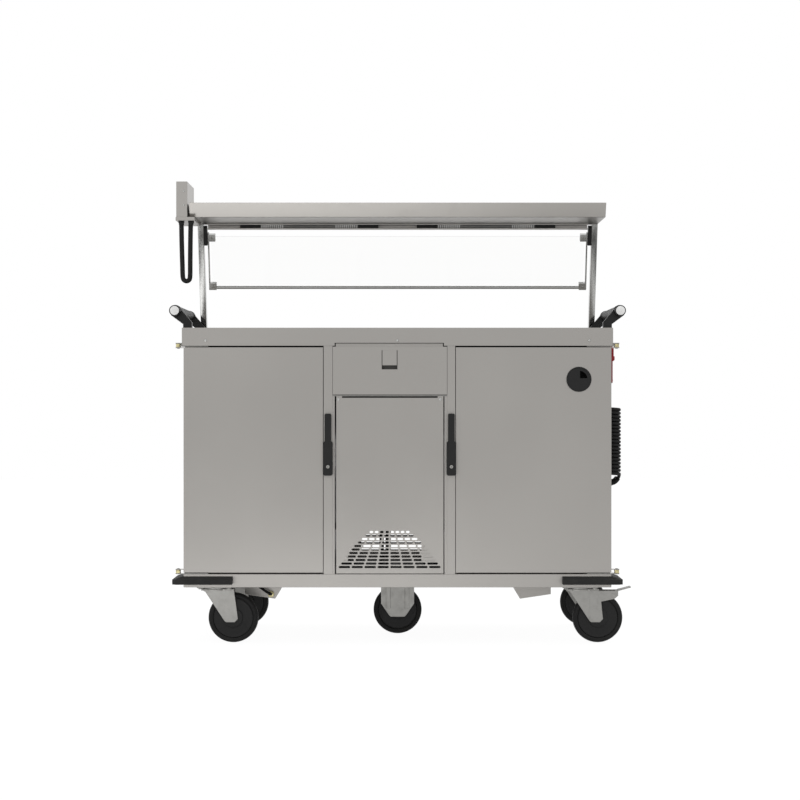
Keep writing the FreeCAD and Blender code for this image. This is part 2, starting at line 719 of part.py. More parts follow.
def flap_sill():
    """The narrow strip between the jambs that the flap closes down to."""
    body = new_body("sill")
    strip = rectangle(s.left_post_inner, front_face, s.right_post_inner, s.shell_front)
    pad(body, "XY", s.jamb_top, s.flap_bottom - 2.2, strip)
    return body


def hinge_bush(side, top):
    """A brass bush between the door's eye and the cabinet's."""
    low = s.door_top + s.play if top else s.chassis_top + s.hinge_plate + s.play
    body = new_body("bush", side * hinge_x, hinge_y, low)
    bore = Circle(0, 0, s.hinge_pin_dia / 2 + 0.05)
    pad(body, "XY", 0, s.bush_length, Circle(0, 0, s.hinge_bush_dia / 2), bore)
    return body


def latch(label, outer, inner):
    """A swing handle on the post: wide lower half round its spindle, narrow grip above."""
    middle = (outer + inner) / 2
    body = new_body(label, middle, front_face - s.play, s.latch_pivot)
    wide, narrow = s.latch_wide / 2, s.latch_narrow / 2
    low, high = s.latch_bottom - s.latch_pivot, s.latch_top - s.latch_pivot
    shoulder = s.latch_shoulder - s.latch_pivot
    outline = [
        (4 - wide, low), (wide - 4, low), (wide, low + 4), (wide, shoulder - 5), (narrow, shoulder),
        (narrow, high - 3), (narrow - 3, high), (3 - narrow, high), (-narrow, high - 3),
        (-narrow, shoulder), (-wide, shoulder - 5), (-wide, low + 4),
    ]
    pad(body, "XZ", -s.latch_thick, 0, outline)
    grip_gap = [(-9, shoulder + 8), (0, shoulder + 2), (0, high - 8), (-9, high - 8)]
    cut(body, "YZ", -wide, wide, grip_gap)
    cut(body, "XZ", -s.latch_thick, 3 - s.latch_thick, Circle(0, s.lock_rise, 7))
    pad(body, "XZ", -s.latch_thick, 4 - s.latch_thick, Circle(0, s.lock_rise, 6))
    pad(body, "XZ", -1, 15, Circle(0, 0, 5))
    return node(body)


# ---------------------------------------------------------------- bumpers and push handles


def bumper(side_x, side_y):
    """A corner bumper: two equal legs that meet in a clipped corner, with a sloping top."""
    body = new_body("bumper")
    wall_x, wall_y, out, clip = side_face, back_face, s.bumper_out, s.bumper_clip
    end_x, end_y = wall_x + out - s.bumper_leg, wall_y + out - s.bumper_leg

    def ring(reach, clipped_by):
        far_x, far_y = wall_x + reach, wall_y + reach
        points = [
            (end_x, wall_y), (end_x, far_y), (far_x - clipped_by, far_y),
            (far_x, far_y - clipped_by), (far_x, end_y), (wall_x, end_y), (wall_x, wall_y),
        ]
        return [(side_x * x, side_y * y) for x, y in points]

    pad(body, "XY", s.bumper_bottom, s.bumper_edge, ring(out, clip))
    low = draw(body, "XY", s.bumper_edge, [ring(out, clip)])
    high = draw(body, "XY", s.bumper_top, [ring(3, 1)])
    slope = body.newObject("PartDesign::AdditiveLoft", "AdditiveLoft")
    slope.Profile = low
    slope.Sections = [high]
    slope.Ruled = True
    return body


def corner_bumpers():
    return group("corner_bumpers", [bumper(x, y) for x in (-1, 1) for y in (-1, 1)])


def handle_tube(label, side):
    body = new_body(label, side * s.handle_x, 0, s.handle_z)
    ring = Circle(0, 0, s.handle_radius), Circle(0, 0, s.handle_radius - s.handle_wall)
    pad(body, "XZ", -s.handle_half, s.handle_half, *ring)
    return node(body)


def end_plug(side, end):
    """The plug that closes one end of a push handle, with a low domed face."""
    body = new_body("plug", side * s.handle_x, end * s.handle_half, s.handle_z)
    radius = s.handle_radius - s.handle_wall
    inner, outer = ordered(end * -12, end * 0.6)
    pad(body, "XZ", inner, outer, Circle(0, 0, radius))
    low, high = ordered(end * 0.5, end * 1.8)
    pad(body, "XZ", low, high, Circle(0, 0, radius - 3))
    return body


def handle_bracket(side, end):
    """A cast bracket: foot hooked over the deck's edge, upright, slanted arm and tube clamp."""
    body = new_body("bracket", 0, end * s.bracket_y, 0)
    deck, half = s.fascia_top, s.bracket_half
    edge = s.fascia_width / 2
    outline = [
        (662, deck), (662, deck + 21), (700, deck + 66), (729, deck + 44), (690, deck + 15),
        (690, deck - 28), (edge + 0.2, deck - 28), (edge + 0.2, deck),
    ]
    pad(body, "XZ", -half, half, [(side * x, z) for x, z in outline])
    clamp = Circle(side * s.handle_x, s.handle_z, s.handle_radius + s.bracket_grip)
    pad(body, "XZ", -half, half, clamp)
    grip = Circle(side * s.handle_x, s.handle_z, s.handle_radius + s.pin_fit)
    cut(body, "XZ", -half, half, grip)
    return body


# ---------------------------------------------------------------- canopy, lamps, posts, guard


def canopy():
    """A closed sheet-metal hood with slanted front and back lips."""
    body = new_body("canopy")
    top, low, high_y, low_y, sheet = (
        s.canopy_top, s.canopy_under, s.canopy_half_top, s.canopy_half_low, s.canopy_sheet,
    )
    outline = [(-high_y, top), (high_y, top), (low_y, low), (-low_y, low)]
    hollow = [
        (sheet * 2 - high_y, top - sheet), (high_y - sheet * 2, top - sheet),
        (low_y - sheet * 2, low + sheet), (sheet * 2 - low_y, low + sheet),
    ]
    pad(body, "YZ", -side_face, side_face, outline)
    cut(body, "YZ", sheet - side_face, side_face - sheet, hollow)
    return node(body)


def canopy_post(side):
    """A leaning square tube from the deck to the canopy."""
    body = new_body("post")
    foot_y, head_y, half = s.stand_foot_y, s.stand_head_y, s.stand_deep / 2
    low, high, wall = s.fascia_top, s.canopy_under, s.stand_wall

    def slanted(set_in):
        reach = half - set_in
        return [(foot_y - reach, low), (foot_y + reach, low),
                (head_y + reach, high), (head_y - reach, high)]

    outer, inner = ordered(side * side_face, side * (side_face - s.stand_wide))
    pad(body, "YZ", outer, inner, slanted(0))
    cut(body, "YZ", outer + wall, inner - wall, slanted(wall))
    return body


def lamp_rail():
    """The channel under the canopy that holds the lamps, open towards the operator."""
    body = new_body("lamp_rail")
    front, back, high, sheet = s.rail_front, s.rail_back, s.canopy_under, s.rail_sheet
    low = high - s.rail_high
    profile = [
        (front, high), (back, high), (back, low), (front, low), (front, low + sheet),
        (back - sheet, low + sheet), (back - sheet, high - sheet), (front, high - sheet),
    ]
    pad(body, "YZ", -s.rail_half, s.rail_half, profile)
    return node(body)


def lamp(side):
    """One lamp: end housings, a tube between them and a clip at each end of the tube."""
    body = new_body("lamp")
    low, high = s.canopy_under - s.rail_high + s.rail_sheet, s.canopy_under - s.rail_sheet
    front, back = s.rail_front + 2, s.rail_back - s.rail_sheet
    inner, outer = s.lamp_inner, s.lamp_outer
    for near, far in ((inner, inner + 68), (outer - 68, outer)):
        housing = rectangle(front, low, back, high)
        pad(body, "YZ", *ordered(side * near, side * far), housing)
    middle_y, middle_z = (front + back) / 2, (low + high) / 2
    pad(body, "YZ", *ordered(side * (inner + 60), side * (outer - 60)),
        Circle(middle_y, middle_z, 5.5))
    for near in (inner + 70, outer - 147):
        clip = rectangle(middle_y - 8, low, back, high)
        pad(body, "YZ", *ordered(side * near, side * (near + 77)), clip)
    return body


def lamp_box():
    """The driver housing at the canopy's left end, on a foot plate that reaches under the hood."""
    body = new_body("lamp_box")
    low, high = s.canopy_under, s.driver_top
    left, right, front, back = s.driver_left, s.driver_right, s.driver_front, s.driver_back
    pad(body, "XY", low - s.driver_foot, low, rectangle(left - 2, front - 2, -660, back + 2))
    pad(body, "XY", low, high, rectangle(left, front, right, back))
    cut(body, "XY", low + 2, high - 2, rectangle(left + 2, front + 2, right - 2, back - 2))
    return node(body)


def guard_part(label):
    """A body whose origin is the guard's pivot and whose Z lies along the leaning pane."""
    body = new_body(label, 0, s.guard_y, s.guard_z)
    body.Placement.Rotation = FreeCAD.Rotation(FreeCAD.Vector(1, 0, 0), s.guard_lean.value)
    return body


def guard_glass():
    body = guard_part("guard_glass")
    half, thick = s.glass_half, s.glass_thick / 2
    pad(body, "YZ", -half, half, rectangle(-thick, -s.glass_low, thick, -s.glass_high))
    return node(body)


def guard_frame():
    """The guard's side bars with the four glass clamps, the pivot pins and the bottom rod."""
    body = guard_part("guard_frame")
    outer, inner, bar, side = s.guard_outer, s.clamp_inner, s.guard_bar, s.clamp_side
    for end in (-1, 1):
        span = ordered(end * outer, end * (outer - bar))
        pad(body, "YZ", *span, rectangle(-6, -s.rod_drop - 6, 6, 6))
        wide = ordered(end * inner, end * (outer - 1))
        for low in (-24, -s.rod_drop - 6):
            pad(body, "YZ", *wide, rectangle(-10, low, 10, low + side))
        slot = rectangle(-s.glass_thick / 2, -s.glass_low, s.glass_thick / 2, -s.glass_high)
        cut(body, "YZ", *ordered(end * inner, end * s.glass_half), slot)
        pad(body, "YZ", *ordered(end * (outer - 1), end * (outer + 9)), Circle(0, 0, 4))
    pad(body, "YZ", -inner - 1, inner + 1, Circle(0, -s.rod_drop, s.rod_radius))
    return node(body)


def pivot_block(side):
    """The block on a post that the guard's pin turns in."""
    body = guard_part("pivot")
    block = rounded(-13, -38, 13, 28, 4)
    span = ordered(side * (s.guard_outer + 0.5), side * (side_face - s.stand_wide))
    pad(body, "YZ", *span, block, Circle(0, 0, 4 + s.pin_fit))
    return body


# ---------------------------------------------------------------- side fittings


def switch_box():
    """The mains switch housing on its back plate, at the rear of the right side."""
    body = new_body("switch_box")
    front, back, low, high = s.switch_front, s.switch_back, s.switch_bottom, s.switch_top
    plate = s.fascia_width / 2 + 0.5
    pad(body, "YZ", side_face, plate, rectangle(front, low, back, s.fascia_bottom - 2))
    pad(body, "YZ", plate, s.switch_out, rounded(front, low, back, high, 8))
    middle = (front + back) / 2
    cut(body, "YZ", s.switch_out - 8, s.switch_out, Circle(middle, s.knob_z, 3 + s.pin_fit))
    return node(body)


def switch_knob():
    """The rotary switch: a round knob with a pointer rib, on a short spindle."""
    middle = (s.switch_front + s.switch_back) / 2
    body = new_body("switch_knob", s.switch_out + s.play, middle, s.knob_z)
    pad(body, "YZ", 0, s.knob_high, Circle(0, 0, s.knob_radius))
    pad(body, "YZ", s.knob_high - 1, s.knob_high + 1, rounded(-5, -1.5, 5, 1.5, 1.2))
    pad(body, "YZ", -6, 1, Circle(0, 0, 3))
    return node(body)


def inlet(y, z):
    """A cord bush on the right side wall."""
    body = new_body("inlet", side_face, y, z)
    pad(body, "YZ", 0, 4, Circle(0, 0, s.inlet_radius + 4))
    pad(body, "YZ", 3, s.inlet_out, Circle(0, 0, s.inlet_radius))
    return body


def underframe_box(side):
    """A slant-bottomed sheet box under the chassis."""
    body = new_body("box")
    inner, outer, top = s.box_inner, s.box_outer, s.chassis_bottom
    outline = [(inner, top), (outer, top), (outer, top - 42), (inner + 17, top - 57),
               (inner, top - 29)]
    pad(body, "XZ", -s.box_half, s.box_half, [(side * x, z) for x, z in outline])
    return body


def hose_gland():
    """The brass ring on the left box that the drain hose screws into."""
    body = new_body("hose_gland", s.gland_x, -s.box_half, s.gland_z)
    pad(body, "XZ", -12, 0, Circle(0, 0, s.gland_radius), Circle(0, 0, 2.5))
    return node(body)


# ---------------------------------------------------------------- castors


def castor_plate(side_x, side_y):
    """A bolted top plate with the swivel race and the kingpin."""
    body = new_body("plate", side_x * s.castor_x, side_y * s.castor_y, 0)
    top, sheet = s.chassis_bottom, s.plate_sheet
    pad(body, "XY", top - sheet, top, rounded(-57, -50, 57, 50, 8))
    gap = s.crown_top + 0.4
    pad(body, "XY", gap, top - sheet + 1, Circle(0, 0, 33))
    king_low = s.crown_top - s.crown_sheet - 7
    pad(body, "XY", king_low, top - 2, Circle(0, 0, s.king_radius))
    pad(body, "XY", king_low, king_low + 6, Circle(0, 0, 13))
    return body


def swivel_fork(label, side_x, side_y, braked):
    """A pressed fork: crown under the race, two tapering legs and the axle; brake cheeks if braked."""
    body = new_body(label, side_x * s.castor_x, side_y * s.castor_y, 0)
    top, axle_x, axle_z = s.crown_top, s.castor_trail, s.wheel_radius
    inside, sheet = s.fork_inside, s.fork_sheet
    cheek = [
        (axle_x + 10, axle_z + 52), (axle_x + 53, axle_z + 61), (axle_x + 64.5, axle_z + 71),
        (axle_x + 64.5, axle_z + 86.6), (axle_x + 3, axle_z + 86.6), (axle_x + 3, top),
    ]
    leg = [
        (-44, top), (-30, axle_z + 82), (axle_x - 27.5, axle_z - 9), (axle_x - 21.5, axle_z - 13.5),
        (axle_x + 5.5, axle_z - 13.5), (axle_x + 15.5, axle_z - 3),
    ] + (cheek if braked else [(axle_x + 3, top)])
    strip = [
        (axle_x - 26, axle_z - 10.5), (axle_x - 21.5, axle_z - 13.5), (axle_x + 5.5, axle_z - 13.5),
        (axle_x + 15.5, axle_z - 3), (axle_x + 3, top - 3.6), (axle_x - 26, top - 3.6),
    ]
    crown = [(-44, -inside - sheet), (axle_x + 3, -inside - sheet),
             (axle_x + 3, inside + sheet), (-44, inside + sheet)]
    hole = Circle(0, 0, s.king_radius + s.pin_fit)
    pad(body, "XY", top - s.crown_sheet, top, crown)
    pad(body, "XY", top - s.crown_sheet, top, Circle(0, 0, 37))
    cut(body, "XY", top - s.crown_sheet, top, hole)
    for end in (-1, 1):
        pad(body, "XZ", *ordered(end * inside, end * (inside + sheet)), leg)
        pad(body, "XZ", *ordered(end * (inside + sheet - 0.5), end * (inside + sheet + 2)), strip)
        if braked:
            hole = Circle(s.pedal_pivot_x, s.pedal_pivot_z, 3 + s.pin_fit)
            cut(body, "XZ", *ordered(end * inside, end * (inside + sheet)), hole)
    reach = inside + 1
    pad(body, "XZ", -reach, reach, Circle(axle_x, axle_z, s.axle_radius))
    return node(body)


def brake_pedal(label, side_y):
    """A pressed brake pedal: tread outside, tongue over the wheel, cross pin between the cheeks."""
    body = new_body(label, s.castor_x + s.pedal_pivot_x, side_y * s.castor_y, s.pedal_pivot_z)
    strip = [
        (-12, 2), (6, 2), (20, 9.5), (60, 20.5), (59, 23.5), (19, 13), (5, 6), (-12, 6),
    ]
    pad(body, "XZ", -s.pedal_half, s.pedal_half, strip)
    pad(body, "XZ", -s.pedal_half, s.pedal_half, Circle(0, 0, 6))
    reach = s.fork_inside + s.fork_sheet + 1
    pad(body, "XZ", -reach, reach, Circle(0, 0, 3))
    return node(body)


def centre_fork():
    """The fixed castor of the middle wheel: flat top plate, two ribbed legs and the axle."""
    body = new_body("centre_fork")
    top, axle, inside, sheet = s.chassis_bottom, s.wheel_radius, s.fork_inside, s.fork_sheet
    pad(body, "XY", top - s.plate_sheet, top, rounded(-62, -50, 62, 50, 8))
    leg = [
        (-55, top - 2), (-55, axle + 21), (-29, axle - 17), (-23, axle - 23), (23, axle - 23),
        (29, axle - 17), (55, axle + 21), (55, top - 2),
    ]
    for end in (-1, 1):
        pad(body, "XZ", *ordered(end * inside, end * (inside + sheet)), leg)
        for left in (-38, 24):
            rib = rectangle(left, axle + 5, left + 14, top - 8)
            pad(body, "XZ", *ordered(end * (inside + sheet - 0.5), end * (inside + sheet + 3)), rib)
    reach = inside + 1
    pad(body, "XZ", -reach, reach, Circle(0, axle, s.axle_radius))
    return node(body)


def wheel(label, x, y):
    """A wheel turned in one profile: hub, dished disc, groove and tyre."""
    body = new_body(label, x, y, s.wheel_radius)
    bore, hub, tread = s.axle_radius + s.pin_fit, s.hub_half, s.wheel_radius
    half = [
        (bore, hub), (30, hub), (32, 17), (62, 17), (63.7, 14.5), (65.2, 18.5), (74, 18.5),
        (tread, 12),
    ]
    turn(body, half + [(r, -y) for r, y in reversed(half)])
    return node(body)


# ---------------------------------------------------------------- cords and hose


def round_wire(points, share=0.48):
    """Straight runs joined by tangent arcs; each arc is as large as its two runs allow."""
    edges, radii = [], []
    here = points[0]
    for before, corner, after in zip(points, points[1:], points[2:]):
        back, ahead = (before - corner), (after - corner)
        cut_back = share * min(back.Length, ahead.Length)
        back.normalize()
        ahead.normalize()
        half_turn = (math.pi - back.getAngle(ahead)) / 2
        radii.append(cut_back / math.tan(half_turn))
        start, finish = corner + back * cut_back, corner + ahead * cut_back
        chord_middle = (start + finish) * 0.5
        pull = math.cos(half_turn)
        middle = (chord_middle + corner * pull) * (1 / (1 + pull))
        edges.append(Part.LineSegment(here, start).toShape())
        edges.append(Part.Arc(start, middle, finish).toShape())
        here = finish
    edges.append(Part.LineSegment(here, points[-1]).toShape())
    return Part.Wire(edges), radii


def tube(label, points, diameter):
    """A plain tube along a route; its volume is compared with section times length."""
    wire, radii = round_wire(points)
    start = points[0]
    axis = points[1] - points[0]
    section = Part.Wire([Part.Circle(start, axis, diameter / 2).toShape()])
    solid = wire.makePipeShell([section], True, False)
    share = solid.Volume / (math.pi * diameter**2 / 4 * wire.Length)
    print(f"{label}: length {wire.Length:.0f}, least radius {min(radii):.1f}, volume share {share:.3f}")
    return solid


def feature(label, shape):
    thing = doc.addObject("Part::Feature", "Feature")
    thing.Label = label
    thing.Shape = shape
    return node(thing)


CABLE_ROUTE = [
    (-705, -150, 1359.4), (-704.5, -150, 1300), (-703.5, -150, 1220), (-702.8, -150, 1161.5),
    (-673.6, -150, 1161.5), (-673.8, -150, 1220), (-673.8, -150, 1300), (-673.6, -150, 1359.4),
]

HOSE_ROUTE = [
    (-414, -132, 141), (-414, -146, 141), (-421, -155, 147), (-434, -158, 156),
    (-447, -157, 165), (-456, -155, 173), (-456, -155, 181.8),
]


def lamp_cable():
    """The lamp's flexible lead: down in a narrow loop and up again into the foot plate."""
    return feature("lamp_cable", tube("lamp_cable", vectors(CABLE_ROUTE), s.cable_dia.value))


def drain_hose():
    """The drain hose from the left box's gland up into the chassis."""
    return feature("drain_hose", tube("drain_hose", vectors(HOSE_ROUTE), s.hose_dia.value))


def vectors(route):
    return [FreeCAD.Vector(*point) for point in route]


def biarc(p0, t0, p1, t1):
    """Two tangent arcs from one point and direction to another."""
    chord = p1 - p0
    sum_t = t0 + t1
    slack = 2 * (1 - t0.dot(t1))
    b = chord.dot(sum_t)
    reach = (math.sqrt(b * b + slack * chord.dot(chord)) - b) / slack
    joint = (p0 + t0 * reach + p1 - t1 * reach) * 0.5
    return [half_arc(p0, t0, joint, reach), half_arc(p1, t1 * -1, joint, reach)]


def half_arc(start, direction, finish, reach):
    corner = start + direction * reach
    back, ahead = (start - corner), (finish - corner)
    half_turn = (math.pi - back.getAngle(ahead)) / 2
    pull = math.cos(half_turn)
    middle = ((start + finish) * 0.5 + corner * pull) * (1 / (1 + pull))
    return Part.Arc(start, middle, finish).toShape()


COIL_TURNS = 17
TAIL_DROP = 145
TAIL_SLOPE = 0.8
TAIL_RUN = 17


def coil_height(turns):
    """How far the coil has come down: an even pitch, then a steep last half turn."""
    return s.coil_pitch.value * turns + TAIL_DROP * max(turns - COIL_TURNS, 0)**2


def coil_point(turns):
    angle = 2 * math.pi * turns - math.pi / 2
    radius = s.coil_radius.value
    return FreeCAD.Vector(
        s.coil_x.value + radius * math.cos(angle), s.coil_y.value + radius * math.sin(angle),
        s.coil_top.value - coil_height(turns),
    )


def coil_direction(turns):
    step = 1e-4
    way = coil_point(turns + step) - coil_point(turns - step)
    return way.normalize()


def mains_cord():
    """The curly mains cord: out of its bush, down in even curls and back into the parking bush."""
    wall = side_face.value + s.inlet_out.value
    last = COIL_TURNS + 0.5
    out, home = FreeCAD.Vector(1, 0, 0), FreeCAD.Vector(-1, 0, -TAIL_SLOPE).normalize()
    start, finish = coil_point(0), coil_point(last)
    end = FreeCAD.Vector(wall, finish.y, finish.z - TAIL_RUN)
    steps = round(last * 4)
    edges = [Part.LineSegment(FreeCAD.Vector(wall, start.y, start.z), start).toShape()]
    for i in range(steps):
        a, b = last * i / steps, last * (i + 1) / steps
        heading = out if i == 0 else coil_direction(a)
        arriving = home if i == steps - 1 else coil_direction(b)
        edges += biarc(coil_point(a), heading, coil_point(b), arriving)
    edges += biarc(finish, home, end, FreeCAD.Vector(-1, 0, 0))
    wire = Part.Wire(edges)
    sides, radius = 6, s.cord_dia.value / 2
    corners = [
        FreeCAD.Vector(wall, start.y + radius * math.cos(2 * math.pi * (i + 0.5) / sides),
                       start.z + radius * math.sin(2 * math.pi * (i + 0.5) / sides))
        for i in range(sides)
    ]
    section = Part.makePolygon(corners + corners[:1])
    solid = wire.makePipeShell([section], True, False)
    area = sides / 2 * radius**2 * math.sin(2 * math.pi / sides)
    gap = least_gap(last) - s.cord_dia.value
    print(f"mains_cord: length {wire.Length:.0f}, least gap {gap:.2f}, "
          f"volume share {solid.Volume / (area * wire.Length):.3f}, ends z {start.z:.1f} {end.z:.1f}")
    return feature("mains_cord", solid)


def least_gap(last):
    """The least distance between points of the coil that are half a turn or more apart."""
    marks = [coil_point(i / 24) for i in range(int(last * 24) + 1)]
    return min(
        (a - b).Length for i, a in enumerate(marks) for b in marks[i + 12:i + 60]
    )


# ---------------------------------------------------------------- the whole cart


def build():
    chassis()
    cabinet_shell()
    rear_vent_panel()
    partition("left_partition", -1, s.left_post_outer, s.left_post_inner,
              s.left_post_inner + s.jamb_width)
    partition("right_partition", 1, s.right_post_outer, s.right_post_inner,
              s.right_post_inner - s.wide_jamb)
    inner_bulkhead()
    shelf_runners()
    worktop()
    well_tub()
    for label, place in (("pan_left", -1), ("pan_middle", 0), ("pan_right", 1)):
        pan(label, place)
    service_hatch()
    control_flap()
    controller()
    condensing_unit()
    fan_rotor()
    left_door()
    right_door()
    vent_dial()
    gasket("left_gasket", -1, s.left_post_outer - s.door_slit)
    gasket("right_gasket", 1, s.right_post_outer + s.door_slit)
    corners = [(side, top) for side in (-1, 1) for top in (False, True)]
    group("hinge_arms", [hinge_arm(*corner) for corner in corners] + [flap_sill()])
    group("hinge_bushes", [hinge_bush(*corner) for corner in corners])
    latch("left_latch", s.left_post_outer, s.left_post_inner)
    latch("right_latch", s.right_post_outer, s.right_post_inner)
    corner_bumpers()
    handle_tube("left_handle_tube", -1)
    handle_tube("right_handle_tube", 1)
    ends = [(side, end) for side in (-1, 1) for end in (-1, 1)]
    group("handle_end_plugs", [end_plug(*end) for end in ends])
    group("handle_brackets", [handle_bracket(*end) for end in ends])
    canopy()
    group("canopy_posts", [canopy_post(side) for side in (-1, 1)])
    lamp_rail()
    group("lamps", [lamp(side) for side in (-1, 1)])
    lamp_box()
    guard_glass()
    guard_frame()
    group("pivot_blocks", [pivot_block(side) for side in (-1, 1)])
    switch_box()
    switch_knob()
    home = coil_point(COIL_TURNS + 0.5)
    group("cord_inlets", [inlet(s.coil_y - s.coil_radius, s.coil_top),
                          inlet(home.y, home.z - TAIL_RUN)])
    group("underframe_boxes", [underframe_box(side) for side in (-1, 1)])
    hose_gland()
    group("castor_plates", [castor_plate(*corner) for corner in ends])
    for where, x, y in (("front_left", -1, -1), ("front_right", 1, -1),
                        ("rear_left", -1, 1), ("rear_right", 1, 1)):
        swivel_fork(f"fork_{where}", x, y, x > 0)
        wheel(f"wheel_{where}", x * s.castor_x + s.castor_trail, y * s.castor_y)
        if x > 0:
            brake_pedal(f"brake_pedal_{where}", y)
    centre_fork()
    wheel("wheel_centre", 0, 0)
    lamp_cable()
    drain_hose()
    mains_cord()


def report_and_write():
    """Stop on any failed object or broken shape, then write each node's file."""
    doc.recompute()
    failed = [thing for thing in doc.Objects if {"Invalid", "Error"} & set(thing.State)]
    if failed:
        owners = {part.Label for thing in failed for part in thing.InListRecursive}
        raise RuntimeError(f"failed: {[t.Label for t in failed]} in {sorted(owners)}")
    names = [thing.Label for thing in NODES]
    if len(set(names)) != len(names):
        raise RuntimeError("two nodes share a name")
    for thing in NODES:
        if thing.Shape.isNull() or not thing.Shape.isValid() or not thing.Shape.Solids:
            raise RuntimeError(f"{thing.Label} has no valid solid")
        if min(solid.Volume for solid in thing.Shape.Solids) <= 0:
            raise RuntimeError(f"{thing.Label} is inside out")
        thing.Shape.exportStep(f"parts/{thing.Label}.step")
    print(f"{len(NODES)} nodes, {sum(len(t.Shape.Solids) for t in NODES)} solids")


build()
report_and_write()
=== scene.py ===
"""The looks of a mobile salad bar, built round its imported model.

Finishes, soft edges and small parts.

Metres.  X runs to the right, Y from the door side to the back, Z up from the floor.
"""
import json
import math

import bmesh
import bpy
from mathutils import Matrix, Vector


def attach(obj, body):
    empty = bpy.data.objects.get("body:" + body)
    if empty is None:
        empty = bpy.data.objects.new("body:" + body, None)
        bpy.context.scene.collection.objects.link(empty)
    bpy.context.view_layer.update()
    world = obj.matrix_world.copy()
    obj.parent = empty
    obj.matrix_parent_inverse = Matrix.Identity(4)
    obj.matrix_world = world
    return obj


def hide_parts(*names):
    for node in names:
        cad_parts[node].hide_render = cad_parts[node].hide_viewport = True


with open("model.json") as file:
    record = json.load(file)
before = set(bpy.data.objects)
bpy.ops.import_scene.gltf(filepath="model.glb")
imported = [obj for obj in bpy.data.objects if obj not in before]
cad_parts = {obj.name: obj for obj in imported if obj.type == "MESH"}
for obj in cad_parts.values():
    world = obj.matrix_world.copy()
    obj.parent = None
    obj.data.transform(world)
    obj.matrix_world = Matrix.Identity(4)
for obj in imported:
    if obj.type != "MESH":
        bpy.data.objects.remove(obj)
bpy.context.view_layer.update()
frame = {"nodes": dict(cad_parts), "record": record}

bl_info = {
    "name": "Mobile Salad Bar",
    "version": (1, 0, 0),
    "blender": (4, 5, 0),
    "location": "View3D > Sidebar > Salad Bar",
    "description": "Dresses the salad bar's solids with finishes, soft edges and small parts",
    "category": "Object",
}

BODY_OF = {
    node: body for body, nodes in frame["record"]["behaviour"]["bodies"].items() for node in nodes
}
MM = 0.001

# ---------------------------------------------------------------- settings


class CartSizes(bpy.types.PropertyGroup):
    """Sizes that change the look and not the structure."""

    panel_edge: bpy.props.FloatProperty(
        name="Panel edge", description="Radius on folded sheet edges", default=0.0012,
        unit="LENGTH")
    moulded_edge: bpy.props.FloatProperty(
        name="Moulded edge", description="Radius on moulded and cast edges", default=0.0018,
        unit="LENGTH")
    thin_edge: bpy.props.FloatProperty(
        name="Thin edge", description="Radius on thin pressed parts", default=0.0005,
        unit="LENGTH")
    cord_thickness: bpy.props.FloatProperty(
        name="Mains cord thickness", description="Diameter of the curly cord", default=0.0115,
        unit="LENGTH")
    cable_thickness: bpy.props.FloatProperty(
        name="Lamp cable thickness", description="Diameter of the looped cable", default=0.0158,
        unit="LENGTH")
    hose_thickness: bpy.props.FloatProperty(
        name="Hose thickness", description="Diameter of the drain hose", default=0.009,
        unit="LENGTH")
    wheel_steps: bpy.props.IntProperty(
        name="Wheel steps", description="Steps round each wheel", default=96, min=24)


def colour_setting(name, description, colour):
    return bpy.props.FloatVectorProperty(
        name=name, description=description, default=colour, subtype="COLOR", size=3,
        min=0, max=1)


class CartColours(bpy.types.PropertyGroup):
    """Base colours of the finishes."""

    steel: colour_setting("Steel", "Satin sheet of the body", (0.376, 0.362, 0.343))
    bright: colour_setting("Bright steel", "Posts, rods and clamps", (0.42, 0.42, 0.41))
    zinc: colour_setting("Zinc", "Castors and brackets", (0.325, 0.32, 0.305))
    pan: colour_setting("Pan steel", "Lift-out pans and well", (0.60, 0.60, 0.59))
    black: colour_setting("Black plastic", "Latches, dial and blocks", (0.010, 0.010, 0.010))
    grey: colour_setting("Grey plastic", "Plugs and fan", (0.80, 0.80, 0.79))
    red: colour_setting("Red plastic", "Mains switch", (0.27, 0.010, 0.016))
    rubber: colour_setting("Rubber", "Bumpers and seals", (0.014, 0.014, 0.014))
    tyre: colour_setting("Tyre", "Wheels", (0.009, 0.009, 0.009))
    brass: colour_setting("Brass", "Hinge bushes and gland", (0.60, 0.54, 0.31))
    copper: colour_setting("Copper", "Cooling pipes", (0.63, 0.29, 0.17))
    glass: colour_setting("Glass", "Guard pane", (0.985, 0.986, 0.982))


def sizes():
    return bpy.context.scene.cart_sizes


def colours():
    return bpy.context.scene.cart_colours


# ---------------------------------------------------------------- shader maths


class Value:
    """A node's output; arithmetic on it adds Math nodes to the same shader."""

    def __init__(self, shader, socket):
        self.shader = shader
        self.socket = socket

    def maths(self, operation, *values):
        return self.shader.node(
            "ShaderNodeMath", {"operation": operation}, dict(enumerate(values)))

    def __add__(self, other):
        return self.maths("ADD", self, other)

    def __sub__(self, other):
        return self.maths("SUBTRACT", self, other)

    def __rsub__(self, other):
        return self.maths("SUBTRACT", other, self)

    def __mul__(self, other):
        return self.maths("MULTIPLY", self, other)

    def above(self, low, high):
        """0 below low, 1 over high, smooth between."""
        return self.shader.node(
            "ShaderNodeMapRange", {"interpolation_type": "SMOOTHSTEP"},
            {"Value": self, "From Min": low, "From Max": high})

    __radd__ = __add__
    __rmul__ = __mul__


